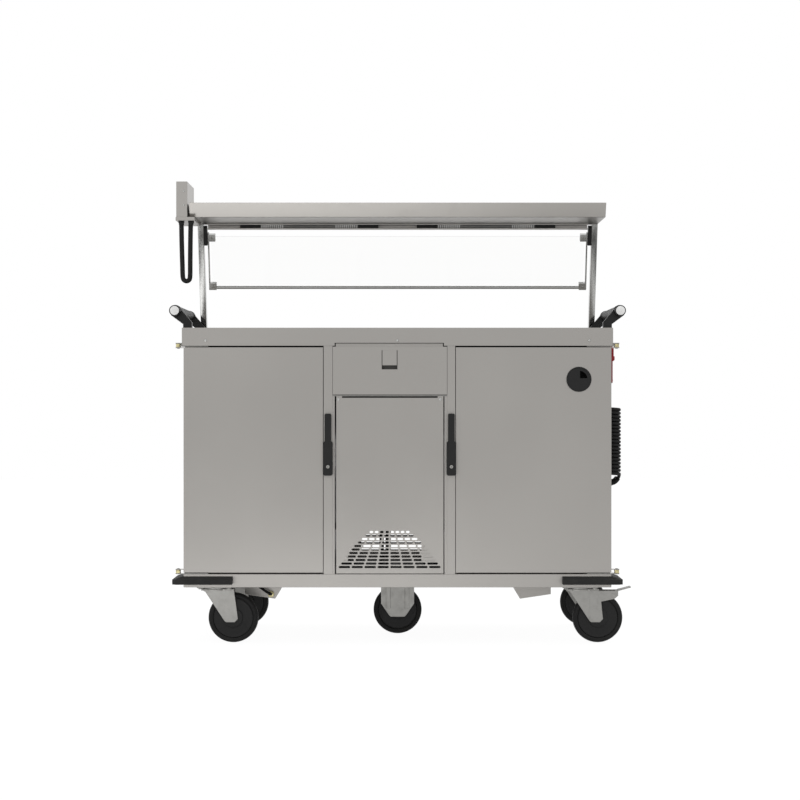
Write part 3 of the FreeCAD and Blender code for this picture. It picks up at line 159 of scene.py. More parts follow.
class Shader:
    """The node tree of a material or world while it is being written."""

    def __init__(self, owner):
        owner.use_nodes = True
        self.owner = owner
        self.tree = owner.node_tree
        self.tree.nodes.clear()

    def node(self, kind, settings, sockets, output=0):
        made = self.tree.nodes.new(kind)
        for name, setting in settings.items():
            setattr(made, name, setting)
        for name, value in sockets.items():
            if isinstance(value, Value):
                self.tree.links.new(value.socket, made.inputs[name])
            else:
                made.inputs[name].default_value = value
        return Value(self, made.outputs[output])

    def place(self, stretch=(1, 1, 1)):
        """Object coordinates, squeezed along each axis by its factor."""
        here = self.node("ShaderNodeTexCoord", {}, {}, "Object")
        return self.node("ShaderNodeMapping", {}, {"Vector": here, "Scale": stretch})

    def noise(self, scale, detail=2.0, stretch=(1, 1, 1), roughness=0.5):
        return self.node("ShaderNodeTexNoise", {}, {
            "Vector": self.place(stretch), "Scale": scale, "Detail": detail,
            "Roughness": roughness})

    def mix(self, share, first, second):
        return self.node(
            "ShaderNodeMix", {"data_type": "RGBA"}, {0: share, 6: first, 7: second}, 2)

    def bump(self, height, distance, strength=1.0):
        return self.node("ShaderNodeBump", {}, {
            "Height": height, "Distance": distance, "Strength": strength})

    def principled(self, **sockets):
        named = {name.replace("_", " "): value for name, value in sockets.items()}
        return self.node("ShaderNodeBsdfPrincipled", {}, named)

    def done(self, surface, output="ShaderNodeOutputMaterial"):
        self.tree.links.new(surface.socket, self.tree.nodes.new(output).inputs["Surface"])
        return self.owner


def new_finish(name):
    return Shader(bpy.data.materials.new(name))


def tone(colour, factor):
    return tuple(min(c * factor, 1) for c in colour) + (1,)


# ---------------------------------------------------------------- finishes


def satin_steel(name, colour, roughness, grain, blotch=0.05):
    """Sheet steel with a fine directional grain, faint clouds and handling marks."""
    shader = new_finish(name)
    streaks = shader.noise(1, 3, grain)
    clouds = shader.noise(1.7, 3, (1, 1, 0.8), 0.45)
    marks = shader.noise(21, 4, roughness=0.6).above(0.52, 0.8)
    share = clouds.above(0.3, 0.7) * 0.72 + streaks * 0.28
    base = shader.mix(share, tone(colour, 1 - blotch), tone(colour, 1 + blotch))
    rough = roughness + (streaks - 0.5) * 0.12 + marks * 0.05 + (clouds - 0.5) * 0.06
    return shader.done(shader.principled(
        Base_Color=base, Metallic=1.0, Roughness=rough,
        Normal=shader.bump(streaks, 0.00006, 0.5)))


ALONG_X = (6, 1400, 1400)
ALONG_Z = (1400, 1400, 6)


def zinc_plate(name, colour):
    """Bright zinc with a soft spangle and dull patches."""
    shader = new_finish(name)
    spangle = shader.node("ShaderNodeTexVoronoi", {"feature": "SMOOTH_F1"}, {
        "Vector": shader.place(), "Scale": 160.0, "Smoothness": 0.6})
    dull = shader.noise(40, 4).above(0.4, 0.75)
    base = shader.mix(spangle * 0.5 + dull * 0.5, tone(colour, 1.05), tone(colour, 0.93))
    return shader.done(shader.principled(
        Base_Color=base, Metallic=1.0, Roughness=0.34 + dull * 0.1 + spangle * 0.05,
        Normal=shader.bump(spangle, 0.00005, 0.2)))


def moulded(name, colour, roughness, grain=900.0, depth=0.00008):
    """Moulded plastic or powder paint: an even fine texture with a little wear in the gloss."""
    shader = new_finish(name)
    pores = shader.noise(grain, 2)
    wear = shader.noise(34, 4).above(0.45, 0.75)
    base = shader.mix(wear * 0.6 + pores * 0.4, tone(colour, 0.88), tone(colour, 1.18))
    return shader.done(shader.principled(
        Base_Color=base, Roughness=roughness + wear * 0.08 + (pores - 0.5) * 0.06,
        Specular_IOR_Level=0.25, Normal=shader.bump(pores, depth, 0.6)))


def rubber(name, colour, dust):
    """Matt rubber with a paler bloom where dust settles."""
    shader = new_finish(name)
    pores = shader.noise(700, 3)
    bloom = shader.noise(26, 5, roughness=0.62).above(0.42, 0.78)
    base = shader.mix(bloom * dust, tone(colour, 1.0), (0.06, 0.058, 0.055, 1))
    return shader.done(shader.principled(
        Base_Color=base, Roughness=0.62 + bloom * 0.2, Specular_IOR_Level=0.22,
        Normal=shader.bump(pores, 0.0001, 0.6)))


def cast_metal(name, colour, roughness):
    """Brass or copper, dulled in patches."""
    shader = new_finish(name)
    dull = shader.noise(120, 4).above(0.4, 0.7)
    base = shader.mix(dull, tone(colour, 1.1), tone(colour, 0.62))
    return shader.done(shader.principled(
        Base_Color=base, Metallic=1.0, Roughness=roughness + dull * 0.2,
        Normal=shader.bump(dull, 0.00005, 0.4)))


def clear_glass(name, colour):
    """A clear pane with the faintest film of wiping marks."""
    shader = new_finish(name)
    film = shader.noise(3, 5, (1, 1, 9), 0.6).above(0.5, 0.8)
    return shader.done(shader.principled(
        Base_Color=tone(colour, 1.0), Roughness=film * 0.035, IOR=1.2,
        Transmission_Weight=1.0))


def finned(name, colour):
    """The face of a heat exchanger: close upright fins, with painted shade in the gaps between
    them.
    """
    shader = new_finish(name)
    fins = shader.node("ShaderNodeTexWave", {"bands_direction": "X", "wave_profile": "SIN"}, {
        "Vector": shader.place(), "Scale": 130.0, "Distortion": 0.4, "Detail": 1.0})
    # Down to a quarter of the colour in the wave's troughs: painted shade between the fins.
    base = shader.mix(fins, tone(colour, 0.25), tone(colour, 1.0))
    return shader.done(shader.principled(
        Base_Color=base, Metallic=1.0, Roughness=0.45 - fins * 0.1,
        Normal=shader.bump(fins, 0.0008, 0.8)))


def display_window(name):
    """A dark window with a faint green tint for a painted glow."""
    shader = new_finish(name)
    haze = shader.noise(220, 2)
    base = shader.mix(haze, (0.006, 0.007, 0.006, 1), (0.014, 0.018, 0.014, 1))
    return shader.done(shader.principled(
        Base_Color=base, Roughness=0.12 + haze * 0.05, Coat_Weight=0.6))


FINISHES = {}


def finish(name):
    """The named finish, made the first time that it is asked for."""
    if name in FINISHES:
        return FINISHES[name]
    c = colours()
    makers = {
        "body_steel": lambda: satin_steel("body_steel", c.steel, 0.36, ALONG_Z),
        "deck_steel": lambda: satin_steel("deck_steel", c.steel, 0.33, ALONG_X),
        "hood_steel": lambda: satin_steel("hood_steel", c.steel, 0.34, ALONG_X),
        # Paler than the body steel: painted light on the lamp rail in the hood's shade.
        "rail_steel_painted_light": lambda: satin_steel("rail_steel_painted_light", (0.62, 0.60, 0.575), 0.5, ALONG_X),
        # Painted shade: a near-black for the inner bulkhead and the bay floor sheet.
        "painted_shade_black": lambda: moulded("painted_shade_black", c.black, 0.7, 300.0, 0.0001),
        # Painted shade at the back of the finger pull.
        "pull_shade_paint": lambda: moulded("pull_shade_paint", (0.085, 0.082, 0.078), 0.6, 300.0, 0.0001),
        "inner_steel": lambda: satin_steel("inner_steel", c.pan, 0.34, ALONG_X, 0.04),
        "pan_steel": lambda: satin_steel("pan_steel", c.pan, 0.24, ALONG_X, 0.06),
        "bright_steel": lambda: satin_steel("bright_steel", c.bright, 0.16, ALONG_Z, 0.04),
        "zinc": lambda: zinc_plate("zinc", c.zinc),
        "black_plastic": lambda: moulded("black_plastic", c.black, 0.42),
        "black_paint": lambda: moulded("black_paint", c.black, 0.38, 600.0, 0.00012),
        "grey_plastic": lambda: moulded("grey_plastic", c.grey, 0.4),
        "red_plastic": lambda: moulded("red_plastic", c.red, 0.28, 500.0, 0.00004),
        "bumper_rubber": lambda: rubber("bumper_rubber", c.rubber, 0.35),
        "seal_rubber": lambda: rubber("seal_rubber", c.rubber, 0.15),
        "cord_rubber": lambda: rubber("cord_rubber", tone(c.tyre, 0.9)[:3], 0.08),
        "tyre": lambda: rubber("tyre", c.tyre, 0.22),
        "hub_plastic": lambda: moulded("hub_plastic", tone(c.tyre, 1.25)[:3], 0.46),
        "brass": lambda: cast_metal("brass", c.brass, 0.26),
        "copper": lambda: cast_metal("copper", c.copper, 0.24),
        "glass": lambda: clear_glass("glass", c.glass),
        "fins": lambda: finned("fins", c.zinc),
        "display": lambda: display_window("display"),
        "lamp_glass": lambda: moulded("lamp_glass", (0.30, 0.30, 0.29), 0.2, 300.0, 0.00002),
    }
    FINISHES[name] = makers[name]()
    return FINISHES[name]


# ---------------------------------------------------------------- mesh helpers


def keep(mesh, name, body, material, angle=35, replaced=()):
    """A finished bmesh as an object at the origin that rides on a body."""
    data = bpy.data.meshes.new(name)
    mesh.to_mesh(data)
    mesh.free()
    data.shade_smooth()
    data.set_sharp_from_angle(angle=math.radians(angle))
    data.materials.append(finish(material))
    piece = bpy.data.objects.new(name, data)
    bpy.context.scene.collection.objects.link(piece)
    flat = piece.modifiers.new("flat faces", "WEIGHTED_NORMAL")
    flat.weight = 100
    flat.keep_sharp = True
    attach(piece, body)
    if replaced:
        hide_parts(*replaced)
    return piece


def bevel_edges(mesh, edges, radius, segments=2):
    bmesh.ops.bevel(
        mesh, geom=edges, offset=radius, offset_type="OFFSET", segments=segments, profile=0.5,
        affect="EDGES", clamp_overlap=True, material=-1)


def sharp_edges(mesh, angle=28):
    limit = math.radians(angle)
    return [e for e in mesh.edges if e.is_manifold and e.calc_face_angle(0) > limit]


def refine(node, material, radius, name=None, region=None, segments=2, merge=True):
    """A copy of a CAD node with softened edges, standing in its place.

    merge joins coplanar faces. It is off for a sheet whose window the joined face would cover.
    """
    mesh = bmesh.new()
    mesh.from_mesh(frame["nodes"][node].data)
    bmesh.ops.remove_doubles(mesh, verts=mesh.verts, dist=2e-6)
    if region:
        keep_islands(mesh, region)
    if merge:
        bmesh.ops.dissolve_limit(
            mesh, angle_limit=math.radians(0.5), use_dissolve_boundaries=False,
            verts=mesh.verts, edges=mesh.edges, delimit=set())
    if radius:
        bevel_edges(mesh, sharp_edges(mesh), radius, segments)
    bmesh.ops.triangulate(mesh, faces=[f for f in mesh.faces if len(f.verts) > 4])
    return keep(mesh, name or f"{node}_skin", BODY_OF[node], material, replaced=(node,))


def keep_islands(mesh, wanted):
    """Delete each separate solid whose middle the test refuses."""
    left = set(mesh.verts)
    while left:
        island, fresh = set(), {left.pop()}
        while fresh:
            island |= fresh
            fresh = {e.other_vert(v) for v in fresh for e in v.link_edges} - island
        left -= island
        low = Vector(map(min, zip(*[v.co for v in island])))
        high = Vector(map(max, zip(*[v.co for v in island])))
        if not wanted((low + high) / 2):
            bmesh.ops.delete(mesh, geom=list(island), context="VERTS")


def lathe(mesh, profile, steps):
    """A closed profile of (radius, height) turned about Z."""
    ring = [mesh.verts.new((r, 0, z)) for r, z in profile]
    edges = [mesh.edges.new(pair) for pair in zip(ring, ring[1:] + ring[:1])]
    bmesh.ops.spin(
        mesh, geom=ring + edges, cent=(0, 0, 0), axis=(0, 0, 1), angle=math.tau, steps=steps,
        use_merge=True, use_duplicate=False)


def turned(name, profile, places, body, material, steps=48, replaced=(), angle=35):
    """Equal turned pieces, one at each place."""
    whole = bmesh.new()
    for place in places:
        part = bmesh.new()
        lathe(part, profile, steps)
        close_poles(part)
        part.transform(place)
        add_to(whole, part)
    bmesh.ops.recalc_face_normals(whole, faces=whole.faces)
    return keep(whole, name, body, material, angle, replaced)


def close_poles(mesh):
    """Merge what lies on the axis and drop the faces that this leaves without area."""
    bmesh.ops.remove_doubles(mesh, verts=mesh.verts, dist=1e-6)
    bmesh.ops.dissolve_degenerate(mesh, dist=1e-6, edges=mesh.edges)
    loose = [e for e in mesh.edges if not e.link_faces]
    bmesh.ops.delete(mesh, geom=loose, context="EDGES")


def add_to(whole, part):
    """Move one bmesh's contents into another."""
    data = bpy.data.meshes.new("part")
    part.to_mesh(data)
    part.free()
    whole.from_mesh(data)
    bpy.data.meshes.remove(data)


def facing(origin, direction):
    """A place whose Z axis points along a direction."""
    turn = Vector(direction).to_track_quat("Z", "Y").to_matrix().to_4x4()
    return Matrix.Translation(Vector(origin)) @ turn


def block(mesh, low, high, radius=0.0, segments=2):
    """A box between two corners with softened edges."""
    low, high = Vector(low), Vector(high)
    part = bmesh.new()
    bmesh.ops.create_cube(part, size=1)
    bmesh.ops.scale(part, vec=high - low, verts=part.verts)
    bmesh.ops.translate(part, vec=(low + high) / 2, verts=part.verts)
    if radius:
        bevel_edges(part, part.edges[:], radius, segments)
    add_to(mesh, part)


def prism(mesh, sides, radius, low, high, place, edge=0.0004):
    """A prism such as a hexagon head, standing on the place's Z axis."""
    part = bmesh.new()
    bmesh.ops.create_cone(
        part, cap_ends=True, segments=sides, radius1=radius, radius2=radius, depth=high - low)
    bmesh.ops.translate(part, vec=(0, 0, (low + high) / 2), verts=part.verts)
    if edge:
        bevel_edges(part, part.edges[:], edge, 2)
    part.transform(place)
    add_to(mesh, part)


DOME = [(0, 0), (1, 0), (1, 0.18), (0.9, 0.42), (0.66, 0.62), (0.34, 0.73), (0, 0.76)]


def domed(name, places, radius, body, material, height=1.0):
    """Domed screw heads."""
    profile = [(r * radius, z * radius * height) for r, z in DOME]
    return turned(name, profile, places, body, material, 24)


def bolts(name, places, radius, height, body, material="zinc"):
    """Hexagon heads on round washers."""
    mesh = bmesh.new()
    for place in places:
        prism(mesh, 24, radius * 1.45, 0, height * 0.22, place, 0.0002)
        prism(mesh, 6, radius, height * 0.2, height, place)
    bmesh.ops.recalc_face_normals(mesh, faces=mesh.faces)
    return keep(mesh, name, body, material)


def smooth_line(name, points, diameter, body, material, replaced=(), sides=10):
    """A round cord on one smooth spline through its route's control points."""
    curve = bpy.data.curves.new(name, "CURVE")
    curve.dimensions = "3D"
    spline = curve.splines.new("NURBS")
    spline.points.add(len(points) - 1)
    for point, place in zip(spline.points, points):
        point.co = (*[c * MM for c in place], 1)
    spline.order_u = 3
    spline.use_endpoint_u = True
    spline.resolution_u = 4
    curve.resolution_u = 4
    curve.bevel_depth = diameter / 2
    curve.bevel_resolution = sides // 2 - 2
    curve.use_fill_caps = True
    curve.materials.append(finish(material))
    piece = bpy.data.objects.new(name, curve)
    bpy.context.scene.collection.objects.link(piece)
    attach(piece, body)
    if replaced:
        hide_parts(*replaced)
    return piece


# ---------------------------------------------------------------- operators


class CART_OT_cabinet(bpy.types.Operator):
    """Chassis, casing, posts and inner walls"""
    bl_idname = "cart.cabinet"
    bl_label = "Cabinet"

    def execute(self, context):
        edge = sizes().panel_edge
        for node in ("chassis", "cabinet_shell", "left_partition", "right_partition"):
            refine(node, "body_steel", edge)
        # Painted shade: near-black only so that the dial's opening and the gap above the flap read
        # dark.
        refine("inner_bulkhead", "painted_shade_black", edge)
        refine("shelf_runners", "inner_steel", sizes().thin_edge)
        refine("rear_vent_panel", "body_steel", sizes().thin_edge)
        refine("underframe_boxes", "body_steel", edge)
        places = [facing((x, 0.357, z), (0, 1, 0)) for x in (-0.188, 0.140)
                  for z in (0.256, 0.48, 0.706)]
        domed("vent_panel_screws", places, 0.0042, "cart", "bright_steel")
        return {"FINISHED"}


class CART_OT_deck(bpy.types.Operator):
    """Deck, well and the lift-out pans"""
    bl_idname = "cart.deck"
    bl_label = "Deck and pans"

    def execute(self, context):
        refine("worktop", "deck_steel", 0.002, segments=3, merge=False)
        refine("well_tub", "inner_steel", sizes().panel_edge)
        for label, middle in (("left", -0.327), ("middle", 0.0), ("right", 0.327)):
            self.pan(label, middle)
        places = [facing((x, -0.359, 0.965), (0, -1, 0)) for x in (-0.608, 0.0, 0.608)]
        domed("fascia_screws", places, 0.0048, "cart", "bright_steel")
        return {"FINISHED"}

    def outline(self, mesh, half_x, half_y, corner, z):
        """A flat rectangle with round corners, as one face."""
        part = bmesh.new()
        bmesh.ops.create_grid(part, x_segments=1, y_segments=1, size=1)
        bmesh.ops.scale(part, vec=(half_x, half_y, 1), verts=part.verts)
        bmesh.ops.bevel(
            part, geom=part.verts[:], offset=corner, offset_type="OFFSET", segments=8,
            profile=0.5, affect="VERTICES", clamp_overlap=True, material=-1)
        bmesh.ops.translate(part, vec=(0, 0, z), verts=part.verts)
        bmesh.ops.delete(part, geom=part.faces[:], context="FACES_ONLY")
        add_to(mesh, part)

    def pan(self, label, middle):
        """A pressed pan: rolled rim, tapering walls and a rounded floor."""
        deck, depth = 1.005, 0.150
        rings = [
            (0.1622, 0.2647, 0.0157, 0.0004), (0.1625, 0.265, 0.016, 0.0012),
            (0.1612, 0.2637, 0.0147, 0.0015), (0.1536, 0.2530, 0.0410, 0.0014),
            (0.1519, 0.2513, 0.0400, 0.0009), (0.1505, 0.2500, 0.0392, -0.0015),
            (0.1498, 0.2493, 0.0388, -0.006), (0.1462, 0.2457, 0.0380, 0.014 - depth),
            (0.1448, 0.2443, 0.0370, 0.007 - depth), (0.1410, 0.2405, 0.0340, 0.0025 - depth),
            (0.1350, 0.2345, 0.0300, 0.0006 - depth), (0.1100, 0.2095, 0.0200, 0.0005 - depth),
        ]
        mesh = bmesh.new()
        loops = []
        for ring in rings:
            before = set(mesh.edges)
            self.outline(mesh, *ring)
            loops.append([e for e in mesh.edges if e not in before])
        for one, other in zip(loops, loops[1:]):
            bmesh.ops.bridge_loops(mesh, edges=one + other)
        bmesh.ops.contextual_create(mesh, geom=loops[-1])
        bmesh.ops.recalc_face_normals(mesh, faces=mesh.faces)
        low = min(mesh.faces, key=lambda face: face.calc_center_median().z)
        if low.normal.z < 0:
            bmesh.ops.reverse_faces(mesh, faces=mesh.faces)
        bmesh.ops.translate(mesh, vec=(middle, 0, deck), verts=mesh.verts)
        piece = keep(mesh, f"pan_{label}_pressed", f"pan_{label}", "pan_steel",
                     50, (f"pan_{label}",))
        wall = piece.modifiers.new("wall", "SOLIDIFY")
        wall.thickness = 0.001
        wall.offset = -1
        wall.use_even_offset = True


class CART_OT_middle_bay(bpy.types.Operator):
    """Louvred hatch, control flap and the controller behind it"""
    bl_idname = "cart.middle_bay"
    bl_label = "Middle bay"

    def execute(self, context):
        refine("service_hatch", "body_steel", 0.0003)
        refine("control_flap", "body_steel", sizes().panel_edge)
        # A dark sheet at the back of the finger pull: painted shade in its slits and mouth.
        mesh = bmesh.new()
        block(mesh, (-0.0499, -0.3417, 0.8731), (-0.0001, -0.3411, 0.9339))
        keep(mesh, "finger_pull_shade_sheet", "control_flap", "pull_shade_paint")
        # Not in the photograph: it darkens what shows through the lowest louvre rows.
        # A near-black sheet on the bay floor: painted shade on what shows through the louvres.
        mesh = bmesh.new()
        block(mesh, (-0.19, -0.335, 0.2241), (0.135, 0.315, 0.2247))
        keep(mesh, "bay_floor_shade_sheet", "cart", "painted_shade_black")
        refine("controller", "black_plastic", 0.0008)
        mesh = bmesh.new()
        block(mesh, (0.031, -0.3252, 0.837), (0.077, -0.3235, 0.873), 0.0006)
        keep(mesh, "controller_display", "cart", "display")
        places = [facing((x, -0.353, 0.7785), (0, -1, 0)) for x in (-0.187, 0.136)]
        domed("hatch_fasteners", places, 0.0052, "cart", "bright_steel", 0.7)
        return {"FINISHED"}


class CART_OT_cooling(bpy.types.Operator):
    """Compressor, condenser, fan and pipes in the machine bay"""
    bl_idname = "cart.cooling"
    bl_label = "Cooling unit"

    def execute(self, context):
        edge = sizes().panel_edge
        refine("condensing_unit", "seal_rubber", edge, "lagged_pipes",
               lambda p: p.z < 0.34)
        refine("condensing_unit", "zinc", edge, "unit_shelf_plate",
               lambda p: 0.34 < p.z < 0.38)
        refine("condensing_unit", "black_paint", 0.003, "compressor",
               lambda p: p.z > 0.38 and p.x < -0.03)
        refine("condensing_unit", "fins", sizes().thin_edge, "condenser",
               lambda p: p.z > 0.38 and p.x > -0.03)
        refine("fan_rotor", "grey_plastic", sizes().thin_edge)
        hot = [(-60, 88, 435), (-40, 88, 435), (-30, 60, 437), (-30, 0, 465), (-32, -80, 505),
               (-40, -150, 520), (-40, -172, 520), (-24, -178, 520)]
        cold = [(-136, 88, 487), (-150, 88, 487), (-158, 76, 485), (-158, 0, 455),
                (-158, -120, 435), (-158, -190, 455), (-158, -196, 540), (-158, -190, 700),
                (-158, -190, 750)]
        smooth_line("hot_gas_pipe", hot, 0.008, "cart", "copper")
        smooth_line("suction_pipe", cold, 0.010, "cart", "copper")
        return {"FINISHED"}


class CART_OT_doors(bpy.types.Operator):
    """Door leaves, seals and the vent dial"""
    bl_idname = "cart.doors"
    bl_label = "Doors"

    def execute(self, context):
        for side in ("left", "right"):
            refine(f"{side}_door", "body_steel", sizes().panel_edge, segments=3)
            refine(f"{side}_gasket", "seal_rubber", 0.001)
        refine("vent_dial", "black_plastic", 0.0008)
        return {"FINISHED"}


class CART_OT_hinges(bpy.types.Operator):
    """Hinge arms, brass bushes and the two swing latches"""
    bl_idname = "cart.hinges"
    bl_label = "Hinges and latches"

    def execute(self, context):
        refine("hinge_arms", "zinc", 0.0004)
        self.bushes()
        for side, middle in (("left", -0.220), ("right", 0.1705)):
            refine(f"{side}_latch", "black_plastic", sizes().moulded_edge,
                   segments=3)
            self.lock(side, middle)
        return {"FINISHED"}

    def bushes(self):
        profile = [(4.05, 0), (7.4, 0), (8.1, 0.7), (8.1, 3.4), (7.5, 4.0), (7.5, 7.0),
                   (8.1, 7.6), (8.1, 10.3), (7.4, 11), (4.05, 11)]
        places = [Matrix.Translation((side * 0.695, -0.349, z))
                  for side in (-1, 1) for z in (0.2268, 0.9433)]
        turned("hinge_bushes_turned", [(r * MM, z * MM) for r, z in profile], places, "cart",
               "brass", 40, ("hinge_bushes",))

    def lock(self, side, middle):
        """The lock cylinder in a latch, with a black strip of painted shade for its key slot."""
        place = facing((middle, -0.3768, 0.565), (0, -1, 0))
        barrel = [(0, -0.001), (0.0058, -0.001), (0.0058, 0.0002), (0.0052, 0.0007), (0, 0.0007)]
        turned(f"{side}_lock_cylinder", barrel, [place], f"{side}_latch", "zinc",
               36)
        # A thin black strip on the cylinder's face: painted shade standing for the key slot.
        slot = bmesh.new()
        block(slot, (middle - 0.0006, -0.3778, 0.5622), (middle + 0.0006, -0.3772, 0.5678))
        keep(slot, f"{side}_key_slot_shade_strip", f"{side}_latch", "black_plastic")


class CART_OT_handles(bpy.types.Operator):
    """Push handles and their brackets"""
    bl_idname = "cart.handles"
    bl_label = "Push handles"

    def execute(self, context):
        refine("handle_brackets", "black_paint", sizes().moulded_edge, segments=3)
        radius, wall, half = 0.0175, 0.003, 0.275
        tube = [(radius - wall, -half), (radius - 0.001, -half), (radius, 0.001 - half),
                (radius, half - 0.001), (radius - 0.001, half), (radius - wall, half)]
        for side, x in (("left", -0.715), ("right", 0.715)):
            place = facing((x, 0, 1.063), (0, 1, 0))
            turned(f"{side}_handle_grip", tube, [place], "cart", "black_paint", 64,
                   (f"{side}_handle_tube",))
        plug = [(0, -0.012), (0.0145, -0.012), (0.0145, 0.0002), (0.0140, 0.0009),
                (0.0115, 0.0016), (0.006, 0.0021), (0, 0.0022)]
        places = [facing((x, y, 1.063), (0, y, 0)) for x in (-0.715, 0.715)
                  for y in (-half, half)]
        turned("handle_end_plugs_domed", plug, places, "cart", "grey_plastic", 48,
               ("handle_end_plugs",))
        return {"FINISHED"}


class CART_OT_canopy(bpy.types.Operator):
    """Hood, posts, lamp rail, lamps and the driver housing"""
    bl_idname = "cart.canopy"
    bl_label = "Canopy"

    def execute(self, context):
        refine("canopy", "hood_steel", 0.0015, segments=3)
        refine("canopy_posts", "bright_steel", 0.0018, segments=3)
        # The rail's paler steel is painted light for the shade under the hood.
        refine("lamp_rail", "rail_steel_painted_light", sizes().thin_edge)
        refine("lamp_box", "hood_steel", sizes().panel_edge)
        places = [facing((-0.695, -0.170, z), (0, -1, 0)) for z in (1.411, 1.4555)]
        domed("lamp_box_screws", places, 0.0036, "cart", "bright_steel")
        self.lamps()
        return {"FINISHED"}

    def lamps(self):
        """Black end housings, a dark tube between them and pale ribbed clips."""
        housings, clips = bmesh.new(), bmesh.new()
        front, back, low, high = 0.114, 0.147, 1.357, 1.3685
        middle = ((front + back) / 2, (low + high) / 2)
        for side in (-1, 1):
            for near in (0.065, 0.465):
                x0, x1 = sorted((side * near, side * (near + 0.068)))
                block(housings, (x0, front, low), (x1, back, high), 0.0015, 3)
            for near in (0.135, 0.386):
                for rib in range(11):
                    x = side * (near + 0.0035 + rib * 0.007)
                    block(clips, (x - 0.0022, middle[0] - 0.008, low),
                          (x + 0.0022, back, high), 0.0006, 1)
        keep(housings, "lamp_housings", "cart", "black_plastic",
             replaced=("lamps",))
        keep(clips, "lamp_clips", "cart", "grey_plastic")
        tube = [(0, -0.174), (0.0055, -0.174), (0.0055, 0.174), (0, 0.174)]
        places = [facing((side * 0.299, *middle), (1, 0, 0)) for side in (-1, 1)]
        turned("lamp_tubes", tube, places, "cart", "lamp_glass", 32)


class CART_OT_guard(bpy.types.Operator):
    """Tilting glass pane in its frame, and the pivot blocks"""
    bl_idname = "cart.guard"
    bl_label = "Glass guard"

    def execute(self, context):
        refine("guard_glass", "glass", 0.0008)
        refine("guard_frame", "bright_steel", 0.0007)
        refine("pivot_blocks", "black_plastic", 0.0012)
        lean = Matrix.Rotation(math.radians(19.1), 4, "X")
        pivot = Matrix.Translation((0, 0.155, 1.340))
        places = [pivot @ lean @ facing((side * 0.633, -0.010, z), (0, -1, 0))
                  for side in (-1, 1) for z in (-0.012, -0.183)]
        domed("clamp_screws", places, 0.0034, "glass_guard", "zinc")
        return {"FINISHED"}


class CART_OT_switch(bpy.types.Operator):
    """Mains switch, knob and the cord bushes"""
    bl_idname = "cart.switch"
    bl_label = "Mains switch"

    def execute(self, context):
        refine("switch_box", "red_plastic", 0.0025, segments=3)
        knob = [(0, 0), (7.8, 0), (7.8, 8), (7.2, 9), (6.4, 9.6), (0, 9.6)]
        place = facing((0.7337, 0.2175, 0.919), (1, 0, 0))
        turned("switch_knob_turned", [(r * MM, z * MM) for r, z in knob], [place], "switch_knob",
               "red_plastic", 40, ("switch_knob",))
        lid = bmesh.new()
        block(lid, (0.7325, 0.186, 0.9085), (0.7378, 0.249, 0.9565), 0.0015, 3)
        keep(lid, "switch_box_lid", "cart", "red_plastic")
        places = [facing((0.7335, y, z), (1, 0, 0)) for y in (0.189, 0.246)
                  for z in (0.843, 0.953)]
        domed("switch_box_screws", places, 0.003, "cart", "zinc", 0.7)
        profile = [(5.9, 0), (16, 0), (17, 1), (17, 3.2), (15.5, 4), (13, 4.2), (12.6, 6.5),
                   (12.6, 11), (11.2, 13.2), (9.2, 14), (8.4, 16.5), (6.2, 19.5), (5.9, 19.5)]
        places = [facing((0.678, y, z), (1, 0, 0))
                  for y, z in ((0.21575, 0.744), (0.27425, 0.472))]
        turned("cord_bushes", [(r * MM, z * MM) for r, z in profile], places, "cart",
               "black_plastic", 40, ("cord_inlets",))
        return {"FINISHED"}


class CART_OT_cords(bpy.types.Operator):
    """Curly mains cord, lamp cable and drain hose"""
    bl_idname = "cart.cords"
    bl_label = "Cords"

    SLEEVE_THICKNESS = 0.0215
    TAIL = ((762, 258, 512), (759, 267, 503), (751, 273, 495.5), (739, 274.25, 492),
            (722, 274.25, 486), (706, 274.25, 475), (692, 274.25, 472))

    def execute(self, context):
        cord = smooth_line("mains_cord_curly", self.coil(), sizes().cord_thickness, "cart",
                           "cord_rubber", ("mains_cord",))
        loop = [(-705, -150, 1359.4), (-704.3, -150, 1305), (-703, -150, 1255),
                (-701.5, -150, 1210), (-700.8, -150, 1176), (-697.4, -150, 1167),
                (-688.3, -150, 1162.6), (-679.4, -150, 1167), (-676.2, -150, 1176),
                (-676.3, -150, 1220), (-675.6, -150, 1300), (-674.6, -150, 1359.4)]
        cable = smooth_line("lamp_cable_loop", loop, sizes().cable_thickness, "cart",
                            "cord_rubber", ("lamp_cable",))
        route = [(-414, -132, 141), (-414, -146, 141), (-421, -155, 147), (-434, -158, 156),
                 (-447, -157, 165), (-456, -155, 173), (-456, -155, 181.8)]
        hose = smooth_line("drain_hose_bent", route, sizes().hose_thickness, "cart",
                           "cord_rubber", ("drain_hose",))
        elbow = ((757, 265, 506), (751, 272, 496), (739, 274.25, 492), (722, 274.25, 486),
                 (706, 274.25, 475), (692, 274.25, 472))
        smooth_line("cord_sleeve", elbow, self.SLEEVE_THICKNESS, "cart", "cord_rubber")
        self.glands()
        return {"FINISHED"}

    def coil(self):
        """Control points of the curls: an even pitch, then a steep quarter turn to the bush."""
        turns, points_a_turn = 18.25, 16
        x, y, top, radius, pitch = 733, 245, 745.5, 29.25, 12.27
        outside = radius / (0.75 + 0.25 * math.cos(math.tau / points_a_turn))
        points = [(692, y - radius, 744), (702, y - radius, 744.3)]
        for i in range(int(turns * points_a_turn) + 1):
            t = i / points_a_turn
            angle = math.tau * t - math.pi / 2
            points.append((x + outside * math.cos(angle), y + outside * math.sin(angle),
                           top - pitch * t))
        return points + list(self.TAIL)

    def glands(self):
        """Lock nuts where the lamp cable enters its foot plate, and the hose's brass ring."""
        nuts = bmesh.new()
        for x in (-0.705, -0.6736):
            place = facing((x, -0.150, 1.3595), (0, 0, -1))
            prism(nuts, 6, 0.0108, 0, 0.006, place)
            prism(nuts, 20, 0.0088, 0.0055, 0.012, place, 0.001)
        keep(nuts, "cable_glands", "cart", "black_plastic")
        refine("hose_gland", "brass", 0.0008)


